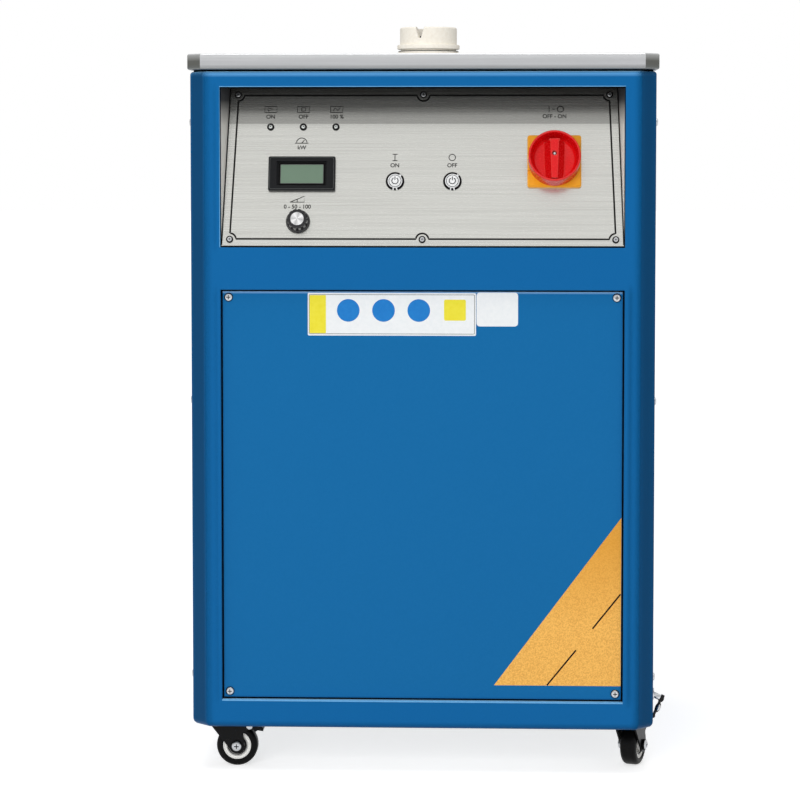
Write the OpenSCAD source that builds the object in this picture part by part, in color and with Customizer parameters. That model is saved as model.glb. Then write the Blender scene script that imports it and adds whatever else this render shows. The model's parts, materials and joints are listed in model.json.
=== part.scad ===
// Induction melting furnace for small crucibles, on casters.
// Built in the cabinet's own frame: x across, y back from the front face, z up from the floor.

/* [Cabinet] */
// Width of the body across its side panels
body_w = 554; // [530:1:600]
// Depth of the body from front face to rear face
body_d = 474; // [450:1:540]
// Height of the body's lower edge above the floor
body_low = 54.5; // [54.4:0.1:57]
// Height of the casing from its lower to its upper edge
body_h = 786; // [770:1:830]
// Chamfer of the four upright corners
corner_c = 18; // [12:1:20]
// Thickness of the casing's steel sheet
sheet_t = 1.5; // [1:0.1:2]
// Depth that the front and rear casings wrap along the sides
return_d = 26; // [24:1:29]
// Width of the flange folded in along the upper and lower edges
flange_w = 9; // [8.5:0.1:10]
// Radius of the casing's upper edge
top_edge_r = 4; // [2:0.5:5]
// Radius of the casing's lower edge
low_edge_r = 8; // [4:0.5:8]
// Gap between neighbouring casing panels
seam_gap = 1; // [0.5:0.1:2]

/* [Top plate] */
// Overhang of the top plate beyond the body
plate_over = 3; // [2.8:0.1:6]
// Height of the top plate's folded edge
plate_h = 19; // [15:0.5:24]
// Chamfer of the top plate's corners
plate_corner = 17; // [12:1:20]
// Radius of the top plate's folds
plate_edge_r = 2.5; // [2:0.1:4]
// Width of the top plate's lower return
plate_return = 15; // [14:0.5:20]
// Thickness of the seal under the top plate
gasket_t = 2; // [1:0.5:4]

/* [Chassis] */
// Thickness of the chassis steel
chassis_t = 2; // [1.5:0.5:3]
// Height of the base tray's rim
tray_rim_h = 12; // [8:1:12]
// Width of the corner posts' legs on the side panels
post_leg = 18; // [16:1:20]
// Width of the corner posts' legs across the cabinet
post_across = 28; // [26:1:32]
// Distance of the corner posts from the front and rear faces
post_in = 20; // [20:1:24]
// Height of the rails between the posts
rail_h = 16; // [12:1:20]
// Distance of the chassis's top below the casing's inner top
rail_drop = 2.8; // [2.6:0.1:4]
// Height of the left component rail above the tray
board_rail_z = 420; // [380:5:460]

/* [Control bay] */
// Width of the front sheet beside the bay and the access opening
stile_w = 37; // [33:0.5:39]
// Distance of the bay opening's top edge below the body's top edge
bay_drop = 18.5; // [18:0.5:26]
// Height of the bay opening
bay_h = 190; // [186:1:196]
// Slope of the control panel from the upright
panel_tilt = 15.5; // [12:0.5:17]
// Depth that the panel's lower edge stands behind the front face
panel_set = 2; // [2:0.1:4]
// Thickness of the control panel
panel_t = 2; // [1.5:0.1:3]
// Gap below the panel's lower edge
panel_gap = 2; // [1.8:0.1:3]
// Distance that each cheek leans in at the back
cheek_lean = 6.5; // [2:0.5:9]
// Thickness of the bay's stainless sheet
bay_t = 1.2; // [1:0.1:1.6]
// Width of the ledge behind the panel's edge
ledge_w = 15; // [13:1:18]
// Width of the bay's flange behind the front sheet
bay_flange = 12; // [8:1:14]
// Distance of the panel screws from the panel's upper edge
screw_top_in = 8; // [7.5:0.5:11]
// Distance of the panel screws from the panel's lower edge
screw_low_in = 7.6; // [7:0.1:11]
// Distance of the panel screws from the panel's side edges
screw_side_in = 10; // [8:0.5:11]
// Radius of the panel screw heads
small_head_r = 3.5; // [3:0.1:4]
// Radius of the panel screw shanks
small_shank_r = 2; // [1.5:0.1:2]

/* [Louvres] */
// Number of louvres in each side panel
louvre_count = 9; // [5:1:10]
// Length of a louvre
louvre_l = 110; // [90:5:130]
// Spacing of the louvres
louvre_pitch = 16; // [15:0.5:18]
// Distance of the lowest louvre below the body's top
louvre_down = 226; // [200:1:260]
// Distance of the louvres' middle from the rear face
louvre_back = 120; // [100:5:150]

/* [Access panel] */
// Height of the lower edge of the access opening above the body's lower edge
access_low = 34.5; // [30:0.5:40]
// Height of the bar between the access opening and the bay
bar_h = 50.5; // [46:0.5:60]
// Depth that the access panel stands behind the front face
access_set = 6; // [4:0.5:8]
// Gap round the access panel
access_gap = 2; // [1:0.1:3]
// Width of the lip that carries the access panel
lip_w = 17; // [15:0.5:20]
// Distance of the cover screws from the access panel's edges
cover_screw_in = 7; // [6:0.5:9]
// Radius of the cover screw heads
cover_head_r = 4.8; // [4:0.1:5]
// Height of the cover screw heads
cover_head_h = 2.6; // [2:0.1:2.8]
// Radius of the cover screw shanks
cover_shank_r = 2; // [1.5:0.1:2.2]

/* [Lamps] */
// Place of the middle lamp across the panel
lamp_u = -143.8; // [-160:0.2:-130]
// Height of the lamps up the panel's slope
lamp_v = 146.2; // [140:0.2:152]
// Spacing of the lamps
lamp_pitch = 39.2; // [30:0.2:40]
// Outer radius of the lamp bezels
lamp_r = 4; // [3.6:0.1:5]
// Radius of the lamp lenses
lamp_lens_r = 2.4; // [1.8:0.1:2.6]

/* [Meter] */
// Place of the meter's centre across the panel
meter_u = -144.3; // [-150:0.1:-138]
// Place of the meter's centre up the panel's slope
meter_v = 87.5; // [84:0.5:92]
// Width of the meter bezel
meter_w = 80; // [76:1:86]
// Height of the meter bezel
meter_h = 42; // [40:1:46]
// Height of the bezel above the panel
meter_proud = 6; // [4:0.5:8]
// Width of the bezel round the display recess
meter_rim = 10; // [6:0.5:12]
// Width of the display
lcd_w = 52; // [48:0.5:54]
// Height of the display
lcd_h = 25; // [20:0.5:27]

/* [Power regulator] */
// Place of the knob across the panel
knob_u = -148; // [-155:0.5:-140]
// Place of the knob up the panel's slope
knob_v = 29.3; // [28:0.1:34]
// Radius of the knob's skirt
knob_r = 14.5; // [13:0.5:15]
// Radius of the knob's grip
knob_grip_r = 12; // [11:0.5:12.5]
// Height of the knob
knob_h = 16; // [13:0.5:18]
// Radius of the bright cap
cap_r = 8; // [7:0.5:9]
// Number of grooves round the knob
knob_grooves = 12; // [8:1:16]
// Radius of the potentiometer's shaft
pot_shaft_r = 3; // [2.5:0.1:3.2]

/* [Push-buttons] */
// Place of the start button across the panel
start_u = -33; // [-40:0.5:-30]
// Place of the stop button across the panel
stop_u = 35.4; // [30:0.2:42]
// Place of the buttons up the panel's slope
button_v = 79.1; // [70:0.1:90]
// Outer radius of the button bezel
button_r = 11; // [10.8:0.1:12]
// Radius of the button's barrel
button_barrel_r = 9.5; // [9:0.1:9.8]
// Radius of the moving head
button_head_r = 7.6; // [6.5:0.1:8]
// Travel of the moving head
button_travel = 2.5; // [1.5:0.1:3]

/* [Main switch] */
// Place of the switch across the panel
switch_u = 156.6; // [150:0.2:162]
// Place of the switch up the panel's slope
switch_v = 103; // [98:0.5:110]
// Side of the square plate
plate_side = 64; // [60:1:68]
// Thickness of the square plate
plate_proud = 5; // [4:0.5:6]
// Radius of the rotary handle's rim
dial_r = 31; // [28:0.5:31.5]
// Height of the rim above the square plate
dial_h = 25; // [20:0.5:26]
// Wall of the rim at its top
dial_wall = 2.5; // [2:0.5:4]
// Height of the bar grip above the square plate
grip_h = 25; // [20:0.5:26]
// Width of the bar grip at its upper end
grip_wide = 10; // [8:0.5:13]
// Width of the bar grip at its lower end
grip_narrow = 7; // [5:0.5:9]

/* [Furnace mouth] */
// Distance of the crucible's axis behind the body's middle
mouth_back = 3; // [-5:1:10]
// Outer radius of the ceramic sleeve below its flange
sleeve_r = 35; // [33:0.5:36]
// Radius of the sleeve's bore
sleeve_bore_r = 29; // [28.8:0.1:30]
// Radius of the sleeve's upper ring
ring_r = 36; // [35.5:0.5:38]
// Radius of the sleeve's flange
sleeve_flange_r = 39.5; // [38.5:0.5:42]
// Height of the sleeve above the top plate
sleeve_up = 40.5; // [34:0.5:44]
// Depth of the pouring notch
spout_deep = 14; // [8:0.5:16]
// Height of the collar on the top plate
collar_h = 10.5; // [8:0.5:12]
// Depth of the collar's seat in the top plate
collar_seat = 0.6; // [0.4:0.1:0.8]
// Radius of the collar on the top plate
collar_r = 38.5; // [38:0.5:41]
// Thickness of the sleeve's floor
sleeve_floor = 22; // [15:1:30]
// Outer radius of the crucible's rim
crucible_r = 27; // [24:0.5:27.5]
// Wall of the crucible
crucible_wall = 6; // [4:0.5:8]
// Height of the crucible
crucible_h = 122; // [100:1:126]

/* [Induction coil] */
// Outer diameter of the copper tube
coil_tube_d = 8; // [6:0.5:9]
// Clear gap between the sleeve and the coil
coil_gap = 4.5; // [3:0.5:6]
// Spacing of the turns
coil_pitch = 11.5; // [10.5:0.1:12]
// Turns of the coil, an odd number of half turns
coil_turns = 7.5; // [5.5:1:7.5]
// Length of the straight leads
coil_lead = 92; // [91:1:100]
// Distance of the shelf below the top plate
shelf_drop = 115; // [112:1:125]
// Side of the insulating shelf
shelf_side = 180; // [150:1:200]
// Thickness of the insulating shelf
shelf_t = 10; // [8:1:14]

/* [Cooling] */
// Outer radius of the cooling hoses
hose_r = 6.5; // [6:0.1:7.5]
// Outer radius of the drain hose
drain_hose_r = 4.5; // [4:0.1:5]
// Side of the square fan
fan_side = 120; // [115:1:125]
// Depth of the fan
fan_d = 38; // [32:1:42]
// Height of the fan's centre above the tray
fan_up = 560; // [500:5:600]
// Distance of the fan's centre from the body's right side
fan_in = 157; // [130:1:175]
// Number of fan blades
fan_blades = 7; // [5:1:9]
// Radius of the water spigots
spigot_r = 6; // [5:0.5:7]
// Length of the water spigots outside the rear panel
spigot_l = 30; // [25:1:36]
// Height of the water spigots above the tray
spigot_up = 90; // [80:1:110]
// Distance of the water inlet from the body's left side
inlet_in = 97; // [88:1:106]
// Spacing of the water inlet and outlet
spigot_pitch = 60; // [50:1:66]
// Distance of the cable gland from the body's right side
gland_in = 97; // [78:1:106]
// Radius of the cable gland's bore
gland_bore_r = 7; // [5:0.5:7.5]

/* [Power stage] */
// Width of the transformer's core
core_w = 120; // [100:1:126]
// Depth of the transformer's core
core_d = 60; // [50:1:64]
// Height of the transformer's core
core_h = 110; // [90:1:120]
// Distance that the windings stand out of the core
winding_out = 16; // [10:1:18]
// Distance of the core from the body's left side
core_in = 102; // [90:1:110]
// Distance of the core behind the front face
core_y = 150; // [130:1:160]
// Width of the water-cooled heatsink
sink_w = 160; // [140:1:166]
// Depth of the heatsink
sink_d = 120; // [100:1:124]
// Height of the heatsink's block
sink_h = 34; // [30:1:36]
// Height of its fins
fin_h = 26; // [16:1:30]
// Number of its fins
fin_count = 12; // [8:1:16]
// Distance of the heatsink from the body's right side
sink_gap = 39; // [36:1:48]
// Distance of the heatsink behind the front face
sink_y = 95; // [90:1:100]
// Radius of a film capacitor
film_r = 24; // [18:0.5:25]
// Height of a film capacitor
film_h = 84; // [60:1:90]
// Width of the capacitors' frame
bank_w = 170; // [164:1:176]
// Depth of the capacitors' frame
bank_d = 90; // [70:1:94]
// Length of the control board
board_l = 190; // [160:1:200]
// Height of the control board
board_h = 120; // [100:1:126]
// Distance of the control board behind the front face
board_y = 140; // [130:1:150]

/* [Drain cock] */
// Distance of the drain cock behind the front face
drain_y = 47; // [44:1:52]
// Height of the drain cock above the body's lower edge
drain_up = 36; // [34:0.5:46]
// Downward slope of the drain tube
drain_slope = 24; // [10:1:24]
// Radius of the drain tube
drain_tube_r = 3.6; // [3:0.1:4]
// Length of the drain tube outside the side panel
drain_out = 11; // [8:0.2:14]
// Length of the lever
drain_lever_l = 24; // [18:0.5:25]

/* [Casters] */
// Height of the casters from the floor to the tray
caster_h = 70; // [70:0.5:74]
// Distance of the swivel axes from the body's sides
caster_side = 29; // [29:0.5:37]
// Distance of the swivel axes from the front and rear faces
caster_in = 46; // [46:1:60]
// Length of the mounting plates
mount_w = 48; // [44:1:48]
// Width of the mounting plates
mount_d = 46; // [42:1:48]
// Radius of the wheels
wheel_r = 25; // [23:0.5:25]
// Width of the tyres
tyre_w = 20; // [16:0.5:21]
// Distance from the swivel axis to the wheel axle
caster_trail = 22; // [20:0.5:22]
// Radius of the hubs
hub_r = 17; // [14:0.5:18]
// Radius of the axle bolts
axle_r = 4; // [3:0.1:4.5]
// Thickness of the fork
fork_t = 2; // [1.5:0.1:2.5]
// Side play between the tyre and the fork
fork_play = 1.2; // [0.8:0.1:2]
// Radius of the swivel head
swivel_r = 17; // [15:0.5:17]

/* [Fits] */
// Radial gap of running and sliding fits
run_fit = 0.05; // [0.02:0.01:0.1]
// Gap between faces that pass each other
face_gap = 0.3; // [0.2:0.05:0.5]
// Radial gap of screws and parts in their holes
hole_gap = 0.2; // [0.1:0.05:0.4]

/* [Hidden] */
$fn = 64;

// Heights that the pieces share
body_top = body_low + body_h;
plate_low = body_top + gasket_t;
plate_top = plate_low + plate_h;
tray_low = caster_h;
tray_top = tray_low + chassis_t;
access_z = body_low + access_low;
bay_top = body_top - bay_drop;
bay_low = bay_top - bay_h;
opening_w = body_w - 2*stile_w;
access_h = bay_low - bar_h - access_z;
caster_x = body_w/2 - caster_side;
mouth_y = body_d/2 + mouth_back;
inlet_x = inlet_in - body_w/2;
outlet_x = inlet_x + spigot_pitch;
gland_x = body_w/2 - gland_in;
fan_x = body_w/2 - fan_in;
inner_w = body_w - 2*sheet_t;
inner_d = body_d - 2*sheet_t;
// An inner octagon keeps the wall's thickness at its chamfer when its chamfer is this much less
chamfer_share = 2 - sqrt(2);

// Control panel: its lower edge, slope and outline
panel_z = bay_low + panel_gap;
bay_front = sheet_t;
panel_len = (bay_top - 0.8 - panel_z)/cos(panel_tilt);
panel_deep = panel_set + panel_len*sin(panel_tilt);
bay_half = opening_w/2 - face_gap;
panel_half_low = bay_half - cheek_lean*panel_set/panel_deep - hole_gap;
panel_half_top = bay_half - cheek_lean - hole_gap;

// Crucible, coil and shelf
shelf_top = plate_top - shelf_drop;
sleeve_top = plate_top + sleeve_up;
coil_r = sleeve_r + coil_gap + coil_tube_d/2;
coil_low = shelf_top + coil_tube_d/2 + 3;
crucible_z = shelf_top + sleeve_floor;

// Drain cock: its base on the right side panel and the end of its tube
drain_z = body_low + drain_up;
drain_run = drain_out + 4.2;
drain_hub_r = 4.5;
side_reach = body_w/2 + drain_run*cos(drain_slope) + drain_hub_r*sin(drain_slope);

// The part's origin is under the middle of its outer box
knob_reach = panel_set + (knob_v - knob_grip_r + 1)*sin(panel_tilt) - knob_h*cos(panel_tilt);
grip_reach = panel_set + (switch_v - dial_r + 1)*sin(panel_tilt)
    - (plate_proud + dial_h)*cos(panel_tilt);
front_reach = min(knob_reach, grip_reach, -plate_over);
rear_reach = body_d + max(spigot_l, plate_over);
mid_x = (side_reach - body_w/2 - plate_over)/2;
mid_y = (front_reach + rear_reach)/2;

// Caster: heights in the caster and the directions in which the four trail
head_low = caster_h - 13.2;
head_top = caster_h - 10;
bowl_low = head_top + face_gap;
mount_t = 2.5;
pin_r = 5;
fork_half = tyre_w/2 + fork_play;
ear_x = caster_trail + 15.5;
ear_z = wheel_r + 24.2;
FRONT_LEFT = [-1, 0, 0];
FRONT_RIGHT = [1, 0, 70];
REAR_LEFT = [-1, 1, 100];
REAR_RIGHT = [1, 1, 80];

function arc(cx, cy, r, a0, a1, n = 6) =
    [for (i = [0:n]) [cx + r*cos(a0 + (a1 - a0)*i/n), cy + r*sin(a0 + (a1 - a0)*i/n)]];

module in_frame() translate([-mid_x, -mid_y, 0]) children();

// Places children on the control panel: u across, v up the slope, h out of its face
module on_panel(u = 0, v = 0, h = 0) {
    translate([0, panel_set, panel_z]) rotate([90 - panel_tilt, 0, 0])
        translate([u, v, h]) children();
}

// Rectangle with round corners, centred
module round_rect(w, h, r) {
    polygon(concat(
        arc(w/2 - r, h/2 - r, r, 0, 90),
        arc(r - w/2, h/2 - r, r, 90, 180),
        arc(r - w/2, r - h/2, r, 180, 270),
        arc(w/2 - r, r - h/2, r, 270, 360)));
}

// Plan of the cabinet: a rectangle with four chamfered corners
module plan(w, d, c) {
    translate([0, body_d/2]) polygon([
        [-w/2, c - d/2], [c - w/2, -d/2], [w/2 - c, -d/2], [w/2, c - d/2],
        [w/2, d/2 - c], [w/2 - c, d/2], [c - w/2, d/2], [-w/2, d/2 - c]]);
}

// Section across the cabinet, round at its upper and lower edges
module edge_section(w, z0, z1, r0, r1, n) {
    polygon(concat(
        arc(w/2 - r0, z0 + r0, r0, -90, 0, n),
        arc(w/2 - r1, z1 - r1, r1, 0, 90, n),
        arc(r1 - w/2, z1 - r1, r1, 90, 180, n),
        arc(r0 - w/2, z0 + r0, r0, 180, 270, n)));
}

// Block on the cabinet's plan whose edges are round all the way, a little more at the corners
module cabinet_block(w, d, c, z0, z1, r0, r1) {
    across = (w + d - 2*c)/sqrt(2);
    ways = [[0, w, 1, 6], [90, d, 1, 6], [45, across, 1.12, 5], [-45, across, 1.12, 5]];
    translate([0, body_d/2, 0]) intersection_for(way = ways) rotate([90, 0, way[0]])
        linear_extrude(w + d, center = true)
            edge_section(way[1], z0, z1, way[2]*r0, way[2]*r1, way[3]);
}

// Casing sheet: the block less its inside, open past the flanges above and below
module casing_shell() {
    difference() {
        cabinet_block(body_w, body_d, corner_c, body_low, body_top, low_edge_r, top_edge_r);
        cabinet_block(inner_w, inner_d, corner_c - chamfer_share*sheet_t,
            body_low + sheet_t, body_top - sheet_t, low_edge_r - sheet_t, top_edge_r - sheet_t);
        translate([0, 0, body_low - 1]) linear_extrude(body_h + 2)
            plan(body_w - 2*flange_w, body_d - 2*flange_w, corner_c - chamfer_share*flange_w);
    }
}

module casing_slice(x0, x1, y0, y1) {
    intersection() {
        casing_shell();
        translate([x0, y0, body_low - 1]) cube([x1 - x0, y1 - y0, body_h + 2]);
    }
}

// Upright frame behind the front sheet, from y0, with its window
module upright_ring(w, h, z, rim, y0, t) {
    translate([0, y0 + t, z + h/2]) rotate([90, 0, 0]) linear_extrude(t) difference() {
        square([w, h], center = true);
        square([w - 2*rim, h - 2*rim], center = true);
    }
}

module front_frame() color("#1764a0") in_frame() {
    lip_y = access_set + sheet_t;
    difference() {
        union() {
            difference() {
                casing_slice(-body_w, body_w, -1, return_d);
                translate([-opening_w/2, -1, bay_low]) cube([opening_w, sheet_t + 2, bay_h]);
                translate([-opening_w/2, -1, access_z])
                    cube([opening_w, sheet_t + 2, access_h]);
            }
            upright_ring(opening_w + 2*sheet_t, access_h + 2*sheet_t, access_z - sheet_t,
                sheet_t, sheet_t, lip_y);
            upright_ring(opening_w + 2*sheet_t, access_h + 2*sheet_t, access_z - sheet_t,
                lip_w + sheet_t, lip_y, sheet_t);
        }
        access_screws() cylinder(r = cover_shank_r + hole_gap, h = 20, center = true);
    }
}

module left_side_panel() color("#17609a") in_frame() side_panel(-1);

module right_side_panel() color("#17609a") in_frame() {
    difference() {
        side_panel(1);
        translate([body_w/2, drain_y, drain_z]) rotate([0, 90, 0])
            cylinder(r = drain_tube_r + 2*hole_gap, h = 20, center = true);
    }
}

louvre_z = body_top - louvre_down;
louvre_y = body_d - louvre_back;

// Side panel with pressed louvres high at the back
module side_panel(side) {
    x0 = side > 0 ? 0 : -body_w;
    difference() {
        union() {
            casing_slice(x0, x0 + body_w, return_d + seam_gap, body_d - return_d - seam_gap);
            louvres(side) louvre_hood();
        }
        louvres(side) louvre_slot();
        side_screws(side) cylinder(r = cover_shank_r + hole_gap, h = 20, center = true);
    }
}

module louvres(side) {
    for (i = [0:louvre_count - 1])
        translate([side*body_w/2, louvre_y, louvre_z + i*louvre_pitch])
            scale([side, 1, 1]) children();
}

// Quarter-round hood over a slot, open below
module louvre_hood() {
    hood = min(plate_over - 0.2, 2.8);
    rotate([90, 0, 0]) linear_extrude(louvre_l, center = true)
        polygon(concat([[-sheet_t, 8], [0, 8]], arc(0, 0, hood, 60, 0), [[0, 0], [-sheet_t, 4]]));
}

module louvre_slot() {
    translate([-sheet_t - 1, 3 - louvre_l/2, -4]) cube([sheet_t + 2, louvre_l - 6, 5]);
    translate([-sheet_t - 1, 3 - louvre_l/2, -1]) cube([sheet_t + 2, louvre_l - 6, 2.2]);
}

module rear_panel() color("#17609a") in_frame() {
    difference() {
        casing_slice(-body_w, body_w, body_d - return_d, body_d + 1);
        fan_grille();
        for (x = [inlet_x, outlet_x]) rear_hole(x, spigot_r + 2 + hole_gap);
        rear_hole(gland_x, gland_thread_r + hole_gap);
        rear_screws() cylinder(r = cover_shank_r + hole_gap, h = 20, center = true);
    }
}

module rear_hole(x, r) {
    translate([x, body_d + 1, tray_top + spigot_up]) rotate([90, 0, 0])
        cylinder(r = r, h = sheet_t + 3);
}

grille_bar = 4;
grille_slot = 5;

// Round field of level slots in front of the fan
module fan_grille() {
    translate([fan_x, body_d + 1, tray_top + fan_up]) rotate([90, 0, 0])
        linear_extrude(sheet_t + 3) intersection() {
            circle(r = fan_side/2 - 5);
            for (i = [-6:6]) translate([0, i*(grille_bar + grille_slot)])
                for (side = [-1, 1]) translate([side*fan_side/4, 0])
                    square([fan_side/2 - 6, grille_slot], center = true);
        }
}

// Chassis: base tray, four corner posts and the rails between them
module chassis() color("#8c9196") in_frame() {
    tray_w = inner_w - 2*face_gap;
    tray_d = inner_d - 2*face_gap;
    tray_c = corner_c - chamfer_share*(sheet_t + face_gap);
    post_x = inner_w/2;
    post_top = body_top - sheet_t - rail_drop;
    middle_z = bay_low - rail_h - 6;
    fan_rail_z = tray_top + fan_up - fan_side/2 - rail_h - 10;
    difference() {
        union() {
            difference() {
                translate([0, 0, tray_low]) linear_extrude(tray_rim_h) plan(tray_w, tray_d, tray_c);
                translate([0, 0, tray_top]) linear_extrude(tray_rim_h)
                    plan(tray_w - 2*chassis_t, tray_d - 2*chassis_t,
                        tray_c - chamfer_share*chassis_t);
            }
            for (side = [-1, 1]) for (end = [0, 1]) post(side, end, post_top);
            for (end = [0, 1]) for (z = [post_top - rail_h, end == 0 ? middle_z : fan_rail_z])
                translate([-post_x, end_y(end, post_in + chassis_t), z])
                    cube([inner_w, chassis_t, rail_h]);
            for (side = [-1, 1]) for (z = [post_top - rail_h, middle_z])
                translate([side > 0 ? post_x - chassis_t : -post_x, post_in, z])
                    cube([chassis_t, body_d - 2*post_in, rail_h]);
            translate([-post_x, post_in, tray_top + board_rail_z])
                cube([chassis_t, body_d - 2*post_in, 60]);
        }
        casters() mount_bolts(tray_low - 1, 2*chassis_t + 1, bolt_r + hole_gap);
        for (side = [-1, 1]) side_screws(side)
            cylinder(r = cover_shank_r + hole_gap, h = 20, center = true);
        rear_screws() cylinder(r = cover_shank_r + hole_gap, h = 3*post_in, center = true);
        translate([-bay_half - 7, 0, bay_low - 5])
            cube([2*bay_half + 14, panel_deep + 7, bay_h + bay_t + face_gap + 5]);
    }
}

// Distance from the front face of something set in at the front (0) or rear (1)
function end_y(end, inset) = end == 0 ? inset - chassis_t : body_d - inset;

// Angle post in a corner: one leg on the side panel, one across
module post(side, end, post_top) {
    post_x = inner_w/2;
    h = post_top - tray_low;
    translate([side > 0 ? post_x - chassis_t : -post_x,
        end == 0 ? post_in : body_d - post_in - post_leg, tray_low]) cube([chassis_t, post_leg, h]);
    translate([side > 0 ? post_x - post_across : -post_x, end_y(end, post_in + chassis_t), tray_low])
        cube([post_across, chassis_t, h]);
}

// Stainless lid: a folded box open below past its return, with the furnace mouth
module top_plate() color("#c3c4c6") in_frame() {
    w = body_w + 2*plate_over;
    d = body_d + 2*plate_over;
    c = plate_corner;
    difference() {
        cabinet_block(w, d, c, plate_low, plate_top, plate_edge_r, plate_edge_r);
        cabinet_block(w - 2*sheet_t, d - 2*sheet_t, c - chamfer_share*sheet_t,
            plate_low + sheet_t, plate_top - sheet_t, plate_edge_r - sheet_t, plate_edge_r - sheet_t);
        translate([0, 0, plate_low - 1]) linear_extrude(plate_h/2)
            plan(w - 2*plate_return, d - 2*plate_return, c - chamfer_share*plate_return);
        translate([0, mouth_y, plate_low]) cylinder(r = sleeve_r + 1.5, h = plate_h + 1);
        translate([0, mouth_y, plate_top - collar_seat])
            cylinder(r = sleeve_flange_r + face_gap, h = collar_seat + 1);
    }
}

// Rubber seal between the casing's upper flange and the top plate
module top_gasket() color("#141414") in_frame() {
    outer = 2*top_edge_r;
    inner = 2*flange_w;
    translate([0, 0, body_top]) linear_extrude(gasket_t) difference() {
        plan(body_w - outer, body_d - outer, corner_c - chamfer_share*top_edge_r);
        plan(body_w - inner, body_d - inner, corner_c - chamfer_share*flange_w);
    }
}

// Outline of the control panel, or of its ledge when grown or shrunk
module panel_outline(inset_side, inset_low, inset_top) {
    fall = (panel_half_low - panel_half_top)/panel_len;
    half_at = [for (v = [inset_low, panel_len - inset_top]) panel_half_low - fall*v - inset_side];
    polygon([[-half_at[0], inset_low], [half_at[0], inset_low],
        [half_at[1], panel_len - inset_top], [-half_at[1], panel_len - inset_top]]);
}

// Bay of stainless sheet: splayed cheeks, ceiling, flange behind the front and ledge
module control_bay() color("#b9bbbb") in_frame() {
    deep = panel_deep - bay_front;
    lean = atan(cheek_lean/deep);
    rise = bay_top - panel_z;
    run = deep/cos(lean);
    ceiling_z = bay_top - 0.6;
    difference() {
        union() {
            for (side = [-1, 1]) scale([side, 1, 1]) translate([bay_half, bay_front, panel_z])
                rotate([0, 0, lean]) rotate([90, 0, 90]) linear_extrude(bay_t)
                    polygon([[0, 0], [run + 6, rise + bay_t], [0, rise + bay_t]]);
            translate([0, 0, ceiling_z]) linear_extrude(bay_t) polygon([
                [-bay_half - bay_t, bay_front], [bay_half + bay_t, bay_front],
                [bay_half - cheek_lean + bay_t, panel_deep + 4],
                [cheek_lean - bay_half - bay_t, panel_deep + 4]]);
            translate([0, sheet_t, bay_low]) bay_flange_ring();
            on_panel(0, 0, -panel_t - bay_t) linear_extrude(bay_t) difference() {
                panel_outline(-1, -3, -2);
                panel_outline(ledge_w, ledge_w, ledge_w);
            }
            translate([-bay_half + 1, sheet_t, panel_z - 6]) cube([2*bay_half - 2, 3, 5.2]);
        }
        panel_screw_places() cylinder(r = small_shank_r + hole_gap, h = 20, center = true);
        on_panel(0, 0, -panel_t) linear_extrude(panel_t + 0.3) panel_outline(0.05, 0, -0.1);
    }
}

module bay_flange_ring() {
    translate([0, bay_t, bay_h/2]) rotate([90, 0, 0]) linear_extrude(bay_t) difference() {
        square([2*bay_half + 2*bay_flange, bay_h + 2*bay_flange - 6], center = true);
        translate([0, 0.7]) square([2*bay_half, bay_h + 1.4 - 2*panel_gap], center = true);
    }
}

module panel_screw_places() {
    side_low = panel_half_low - screw_side_in;
    side_top = panel_half_top - screw_side_in;
    for (place = [[-side_top, panel_len - screw_top_in], [0, panel_len - screw_top_in],
        [side_top, panel_len - screw_top_in], [-side_low, screw_low_in], [0, screw_low_in],
        [side_low, screw_low_in]]) on_panel(place[0], place[1]) children();
}

module control_panel() color("#cfd1d0") in_frame() {
    difference() {
        on_panel(0, 0, -panel_t) linear_extrude(panel_t) panel_outline(0.1, 0, 0);
        panel_screw_places() cylinder(r = small_shank_r + hole_gap, h = 20, center = true);
        lamp_places() cylinder(r = lamp_r - 1 + hole_gap, h = 20, center = true);
        on_panel(meter_u, meter_v) cube([meter_w - 4 + 2*hole_gap, meter_h - 3 + 2*hole_gap, 20],
            center = true);
        for (u = [start_u, stop_u]) on_panel(u, button_v)
            cylinder(r = button_barrel_r + hole_gap, h = 20, center = true);
        on_panel(knob_u, knob_v) cylinder(r = pot_bush_r + hole_gap, h = 20, center = true);
        on_panel(switch_u, switch_v) cylinder(r = switch_neck_r + hole_gap, h = 20, center = true);
    }
}

// Pan-head screw standing on its seat, shank downwards
module pan_screw(head_r, head_h, shank_r, shank_l) {
    rotate_extrude() polygon(concat([[0, -shank_l], [shank_r, -shank_l], [shank_r, 0], [head_r, 0]],
        arc(head_r - head_h*0.7, head_h*0.3, head_h*0.7, 0, 90, 4), [[0, head_h]]));
}

module control_panel_screws() color("#d9dadb") in_frame()
    panel_screw_places() pan_screw(small_head_r, 2.2, small_shank_r, 6);

module access_panel() color("#1f69a4") in_frame() {
    difference() {
        translate([0, access_set + sheet_t, access_z + access_h/2]) rotate([90, 0, 0])
            linear_extrude(sheet_t)
                square([opening_w - 2*access_gap, access_h - 2*access_gap], center = true);
        access_screws() cylinder(r = cover_shank_r + hole_gap, h = 20, center = true);
    }
}

module access_screws() {
    sx = opening_w/2 - access_gap - cover_screw_in;
    sz = access_h/2 - access_gap - cover_screw_in;
    for (x = [-sx, sx]) for (z = [-sz, sz])
        translate([x, access_set, access_z + access_h/2 + z]) rotate([90, 0, 0]) children();
}

module side_screws(side) {
    for (y = [return_d + seam_gap + 5, body_d - return_d - seam_gap - 5])
        for (z = [body_low + 60, body_low + body_h/2, body_top - 60])
            translate([side*body_w/2, y, z]) rotate([0, side*90, 0]) children();
}

module rear_screws() {
    screw_x = body_w/2 - corner_c - cover_head_r - 1;
    for (x = [-screw_x, screw_x])
        for (z = [body_low + 60, body_low + body_h/2, body_top - 60])
            translate([x, body_d, z]) rotate([-90, 0, 0]) children();
}

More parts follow.
